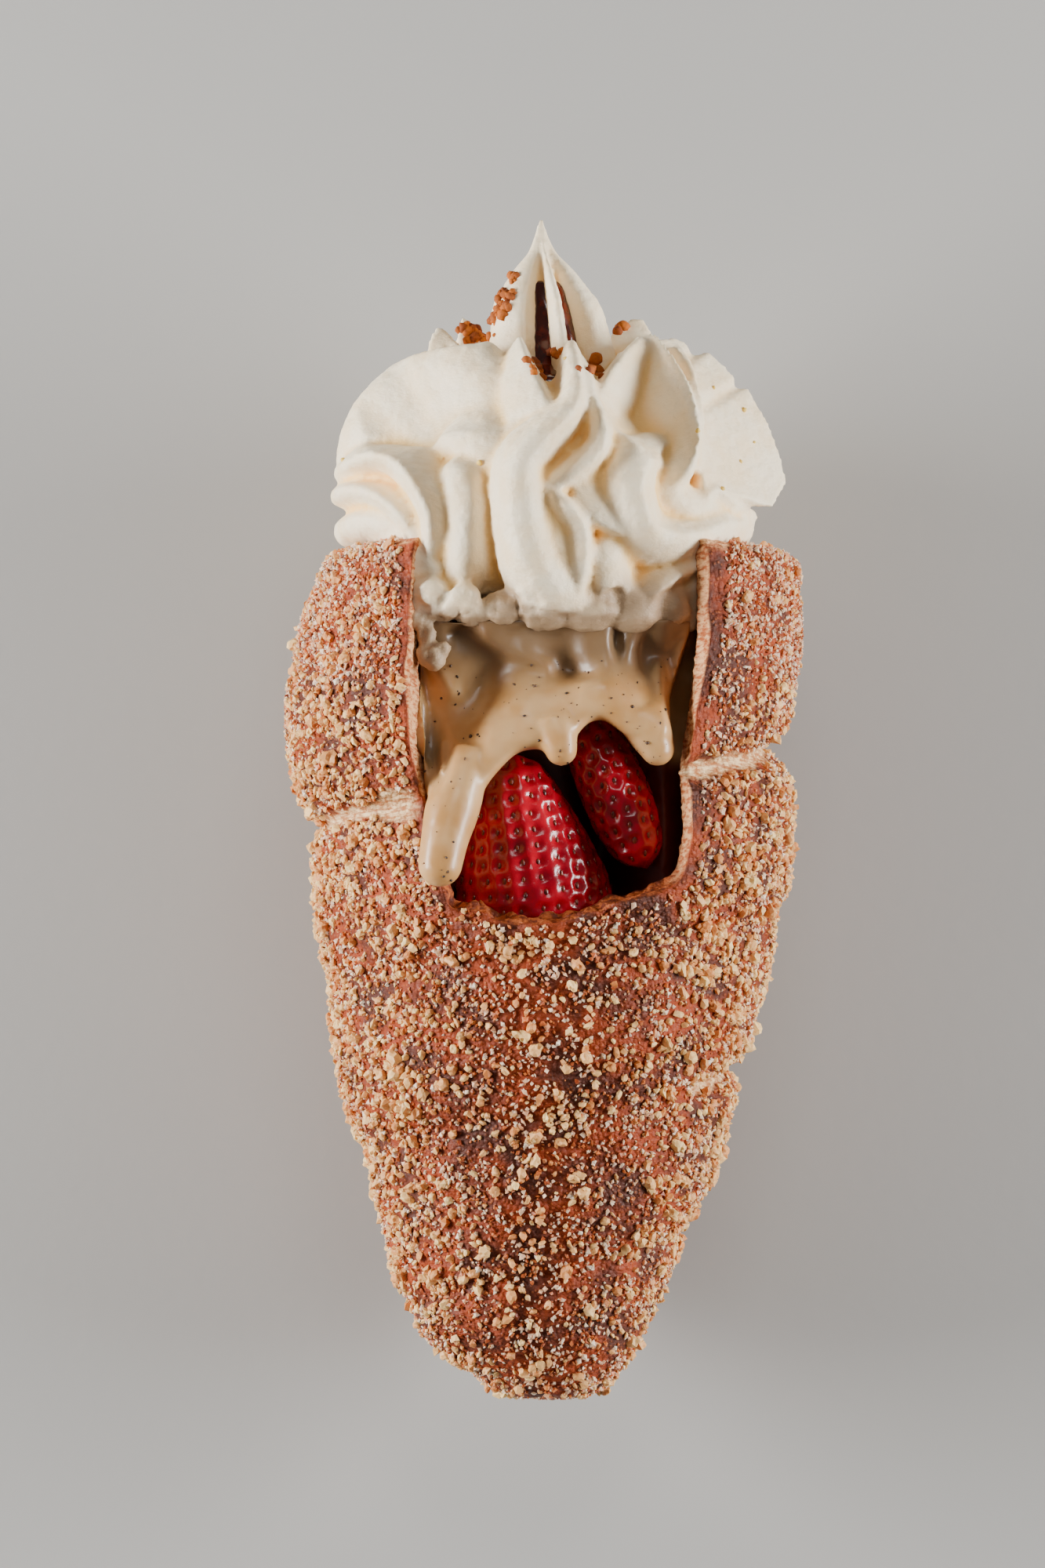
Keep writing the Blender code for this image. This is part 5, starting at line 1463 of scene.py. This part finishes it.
def build_berry(name, shape, colours, chance):
    """A strawberry's dimpled flesh, and its seeds."""
    rings = []
    for i in range(BERRY_ROWS + 1):
        share = math.sin(math.pi / 2 * i / BERRY_ROWS)
        turns = [math.tau * j / BERRY_COLUMNS for j in range(BERRY_COLUMNS)]
        rings.append([berry_surface(*shape, share, turn)[0] for turn in turns])
    berry = ringed(name + "_flesh", rings)
    mesh = berry.data
    points, normals = coordinates(mesh), upright_normals(mesh)
    seeds = seeds_on(*shape)
    nearest = np.full(len(points), np.inf)
    for centre, _ in seeds:
        nearest = np.minimum(nearest, np.linalg.norm(points - np.array(centre), axis=1))
    dimple = np.exp(-((nearest / DIMPLE_WIDTH) ** 2))
    moved = -DIMPLE_DEPTH * dimple - 0.1 + 0.12 * ripple(points, 4.0)
    place(mesh, points + normals * moved[:, None])
    # Painted shade in the dimples
    keep_on(mesh, "dimple", eased(0.5, 0.95, dimple) * 0.55)
    finish_piece(berry, berry_finish(colours), "strawberry", name)
    build_seeds(name, seeds, colours, chance)


def build_seeds(name, seeds, colours, chance):
    """The seeds at the bottom of a strawberry's dimples, as one piece."""
    form, form_faces = lump(2)
    points, faces = [], []
    for centre, out in seeds:
        upright = out.to_track_quat("Z", "Y").to_matrix()
        size = SEED_SIZE[0] + SEED_SIZE[1] * chance.random_sample()
        faces += [tuple(int(v) + len(points) for v in face) for face in form_faces]
        for corner in form:
            local = Vector([c * size * stretch for c, stretch in zip(corner, SEED_SHAPE)])
            points.append(centre - out * (DIMPLE_DEPTH + 0.05) + upright @ local)
    made = mesh_object(name + "_seeds", points, faces)
    finish = plain_finish("seed", colours.seed, colours.seed_dark, 0.3, 0.4, 0.05, 0.6)
    finish_piece(made, finish, "strawberry")


# ---------------------------------------------------------------- settings


def tint(name, description, red, green, blue):
    """A colour to choose, given from 0 to 255."""
    return FloatVectorProperty(
        name=name, description=description, subtype="COLOR", size=3, min=0.0, max=1.0,
        default=linear(red, green, blue),
    )


def grid(name, piece, default):
    """The face size of a piece, in millimetres."""
    return FloatProperty(name=name, description=f"Face size of the {piece}, in mm", default=default, min=0.3)


def amount(name, description, default):
    """How many of a scattered thing there are."""
    return IntProperty(name=name, description=description, default=default, min=0)


class CakeSizes(bpy.types.PropertyGroup):
    """How fine the pieces are and how much lies on them."""

    dough_voxel: grid("Dough grid", "dough", 0.72)
    cream_voxel: grid("Cream grid", "cream", 0.58)
    custard_voxel: grid("Custard grid", "custard", 0.6)
    nut_pieces: amount("Nut pieces", "Largest pieces of nut on the crust", 1700)
    nut_crumbs: amount("Nut crumbs", "Small crumbs of nut on the crust", 6800)
    sugar_crystals: amount("Sugar crystals", "White grains on the crust", 24000)
    spiced_crystals: amount("Cinnamon sugar", "Spiced grains on the crust", 21000)
    vanilla_specks: amount("Vanilla specks", "Specks on the custard", 110)
    lights: FloatProperty(
        name="Lights", description="Strength of the side lights", default=20.0, min=0.0, unit="POWER",
    )


class CakeColours(bpy.types.PropertyGroup):
    """The colours of the cake and of what it lies on."""

    crust: tint("Crust", "Baked crust where it is lighter", 150, 54, 2)
    crust_dark: tint("Dark crust", "Baked crust where it is darker", 76, 26, 2)
    cinnamon_sugar: tint("Cinnamon sugar", "Sugar that has taken up cinnamon", 226, 122, 58)
    cinnamon: tint("Cinnamon", "The darkest spiced grains", 128, 44, 8)
    sugar: tint("Sugar", "The palest grains", 252, 226, 196)
    sugar_shade: tint("Sugar shade", "The darker white grains", 222, 140, 92)
    nut: tint("Nut", "Chopped nut", 250, 210, 140)
    nut_dark: tint("Toasted nut", "The toasted edge of the nut", 202, 118, 50)
    crumb: tint("Crumb", "The dough's pale inside, where a seam has opened", 242, 208, 156)
    crumb_shade: tint("Crumb shade", "The darker layers of that inside", 172, 108, 60)
    wall: tint("Cut wall", "The window's cut walls", 236, 178, 124)
    wall_shade: tint("Cut wall's shade", "The browner layers of the walls", 172, 88, 42)
    lip: tint("Torn lip", "The torn edge under the strawberries", 186, 96, 44)
    lip_shade: tint("Torn lip's shade", "The darker layers of the torn edge", 100, 36, 10)
    cream: tint("Cream", "Whipped cream", 255, 236, 204)
    cream_shade: tint("Cream shade", "Whipped cream, a little yellower", 252, 226, 184)
    # Yellow painted shade deep in the cream's folds
    cream_fold_shade: tint("Deep cream", "Cream deep in the folds", 250, 206, 132)
    # Melted cream, darkened also as painted shade
    cream_melted_shade: tint("Melted cream", "Cream that mixes with the custard", 170, 142, 110)
    custard: tint("Custard", "Vanilla custard", 190, 140, 82)
    custard_pale: tint("Pale custard", "Custard with cream in it", 206, 164, 112)
    custard_shade: tint("Custard's hollows", "Custard in its hollows and under the cream", 110, 86, 62)
    # Dark red for juice stains, and also painted shade in the custard's deep hollows
    juice_and_shade: tint("Juice", "Custard behind the strawberries, dark with juice", 84, 22, 12)
    vanilla: tint("Vanilla", "Vanilla specks", 40, 26, 16)
    vanilla_pale: tint("Pale vanilla", "The browner specks", 92, 62, 36)
    berry: tint("Strawberry", "Ripe flesh", 200, 0, 38)
    # Used for darker flesh at random and for painted shade in the dimples
    berry_dark_and_shade: tint("Dark strawberry", "Flesh in the dimples", 136, 0, 24)
    seed: tint("Seed", "Strawberry seed", 140, 56, 30)
    seed_dark: tint("Dark seed", "Strawberry seed's edge", 80, 12, 12)
    chocolate: tint("Chocolate", "Sauce", 58, 14, 2)
    chocolate_pale: tint("Thin chocolate", "Sauce where it is thin", 96, 30, 6)
    biscuit: tint("Biscuit", "Caramelised crumbs", 204, 108, 6)
    biscuit_dark: tint("Dark biscuit", "Darkest crumbs", 104, 36, 0)
    fleck: tint("Flecks", "Yellow flecks on the cream", 236, 196, 92)
    floor: tint("Floor", "What the cake lies on", 172, 170, 166)


# ---------------------------------------------------------------- operators


def settings(context):
    """The cake's sizes and colours in the scene."""
    return context.scene.cake_sizes, context.scene.cake_colours


class CAKE_OT_dough(bpy.types.Operator):
    """Make the wound dough cone with its window, and the sugar and nuts on its crust"""

    bl_idname = "cake.dough"
    bl_label = "Dough and coating"

    def execute(self, context):
        sizes, colours = settings(context)
        build_coating(build_dough(sizes, colours), sizes, colours)
        return {"FINISHED"}


class CAKE_OT_cream(bpy.types.Operator):
    """Pipe the whipped cream, with its sauce, biscuit crumbs and flecks"""

    bl_idname = "cake.cream"
    bl_label = "Cream and toppings"

    def execute(self, context):
        sizes, colours = settings(context)
        cream = build_cream(sizes, colours)
        build_sauce(colours)
        build_biscuit(cream, colours)
        return {"FINISHED"}


class CAKE_OT_custard(bpy.types.Operator):
    """Fill the cone with custard, and speck it with vanilla"""

    bl_idname = "cake.custard"
    bl_label = "Custard"

    def execute(self, context):
        sizes, colours = settings(context)
        build_specks(build_custard(sizes, colours), sizes, colours)
        return {"FINISHED"}


class CAKE_OT_strawberries(bpy.types.Operator):
    """Set the strawberries with their seeds into the custard"""

    bl_idname = "cake.strawberries"
    bl_label = "Strawberries"

    def execute(self, context):
        colours = settings(context)[1]
        chance = np.random.RandomState(31)
        for name, *shape in BERRIES:
            build_berry(name, shape, colours, chance)
        return {"FINISHED"}


class CAKE_OT_stage(bpy.types.Operator):
    """Set up the floor, the lights and the camera"""

    bl_idname = "cake.stage"
    bl_label = "Floor, lights and camera"

    def execute(self, context):
        sizes, colours = settings(context)
        build_floor(colours)
        build_lights(sizes)
        build_camera()
        return {"FINISHED"}


def build_floor(colours):
    """The pale floor that the cake lies on."""
    bpy.ops.mesh.primitive_plane_add(size=6.0, location=(0, 0, -0.0001))
    floor = bpy.context.object
    floor.name = "floor"
    finish = Finish("floor", Roughness=0.7)
    finish.bump(finish.noise(3.0, 4.0), 0.03)
    shade = tuple(c * 0.95 for c in colours.floor)
    floor.data.materials.append(finish.done(finish.mixed(finish.noise(60.0), tuple(colours.floor), shade)))


def light(name, at, towards, width, tall, power):
    """A soft rectangular light. Places are in upright millimetres, and so are its width and height."""
    data = bpy.data.lights.new(name, "AREA")
    data.shape = "RECTANGLE"
    data.size, data.size_y, data.energy = width * MM, tall * MM, power
    lamp = bpy.data.objects.new(name, data)
    bpy.context.scene.collection.objects.link(lamp)
    start, end = LIE @ (Vector(at) * MM), LIE @ (Vector(towards) * MM)
    facing = (start - end).to_track_quat("Z", "Y").to_matrix().to_4x4()
    lamp.matrix_world = Matrix.Translation(start) @ facing


def build_lights(sizes):
    """Two large soft lights at the sides, a weak one above and a dim room."""
    for name, at, towards, width, tall, share in LIGHTS:
        light(name, at, towards, width, tall, sizes.lights * share)
    world = bpy.data.worlds.new("studio")
    bpy.context.scene.world = world
    world.use_nodes = True
    back = world.node_tree.nodes["Background"]
    back.inputs["Color"].default_value = (1.0, 0.98, 0.96, 1.0)
    back.inputs["Strength"].default_value = ROOM_LIGHT


def build_camera():
    """The camera, far off in front of the window and the cream."""
    data = bpy.data.cameras.new("camera")
    data.sensor_fit = "VERTICAL"
    data.sensor_height = 36.0
    data.lens = data.sensor_height * VIEW_FROM / VIEW_TALL
    data.clip_start, data.clip_end = 0.05, 20.0
    camera = bpy.data.objects.new("camera", data)
    bpy.context.scene.collection.objects.link(camera)
    across, height = VIEW_MIDDLE
    at = Vector((across, -VIEW_FROM, height)) * MM
    camera.matrix_world = LIE @ Matrix.Translation(at) @ Matrix.Rotation(math.pi / 2, 4, "X")
    bpy.context.scene.camera = camera


class CAKE_PT_panel(bpy.types.Panel):
    """The cake's pieces and settings"""

    bl_idname = "CAKE_PT_panel"
    bl_label = "Chimney Cake"
    bl_space_type = "VIEW_3D"
    bl_region_type = "UI"
    bl_category = "Chimney Cake"

    def draw(self, context):
        for operator in OPERATORS:
            self.layout.operator(operator.bl_idname)
        for group in settings(context):
            box = self.layout.box()
            for name in group.__annotations__:
                box.prop(group, name)


OPERATORS = (CAKE_OT_dough, CAKE_OT_cream, CAKE_OT_custard, CAKE_OT_strawberries, CAKE_OT_stage)
CLASSES = (CakeSizes, CakeColours, *OPERATORS, CAKE_PT_panel)


def register():
    for cls in CLASSES:
        bpy.utils.register_class(cls)
    bpy.types.Scene.cake_sizes = PointerProperty(type=CakeSizes)
    bpy.types.Scene.cake_colours = PointerProperty(type=CakeColours)


def unregister():
    del bpy.types.Scene.cake_colours
    del bpy.types.Scene.cake_sizes
    for cls in reversed(CLASSES):
        bpy.utils.unregister_class(cls)


def main():
    register()
    bpy.ops.cake.stage()
    bpy.ops.cake.dough()
    bpy.ops.cake.cream()
    bpy.ops.cake.custard()
    bpy.ops.cake.strawberries()


if __name__ == "__main__":
    main()
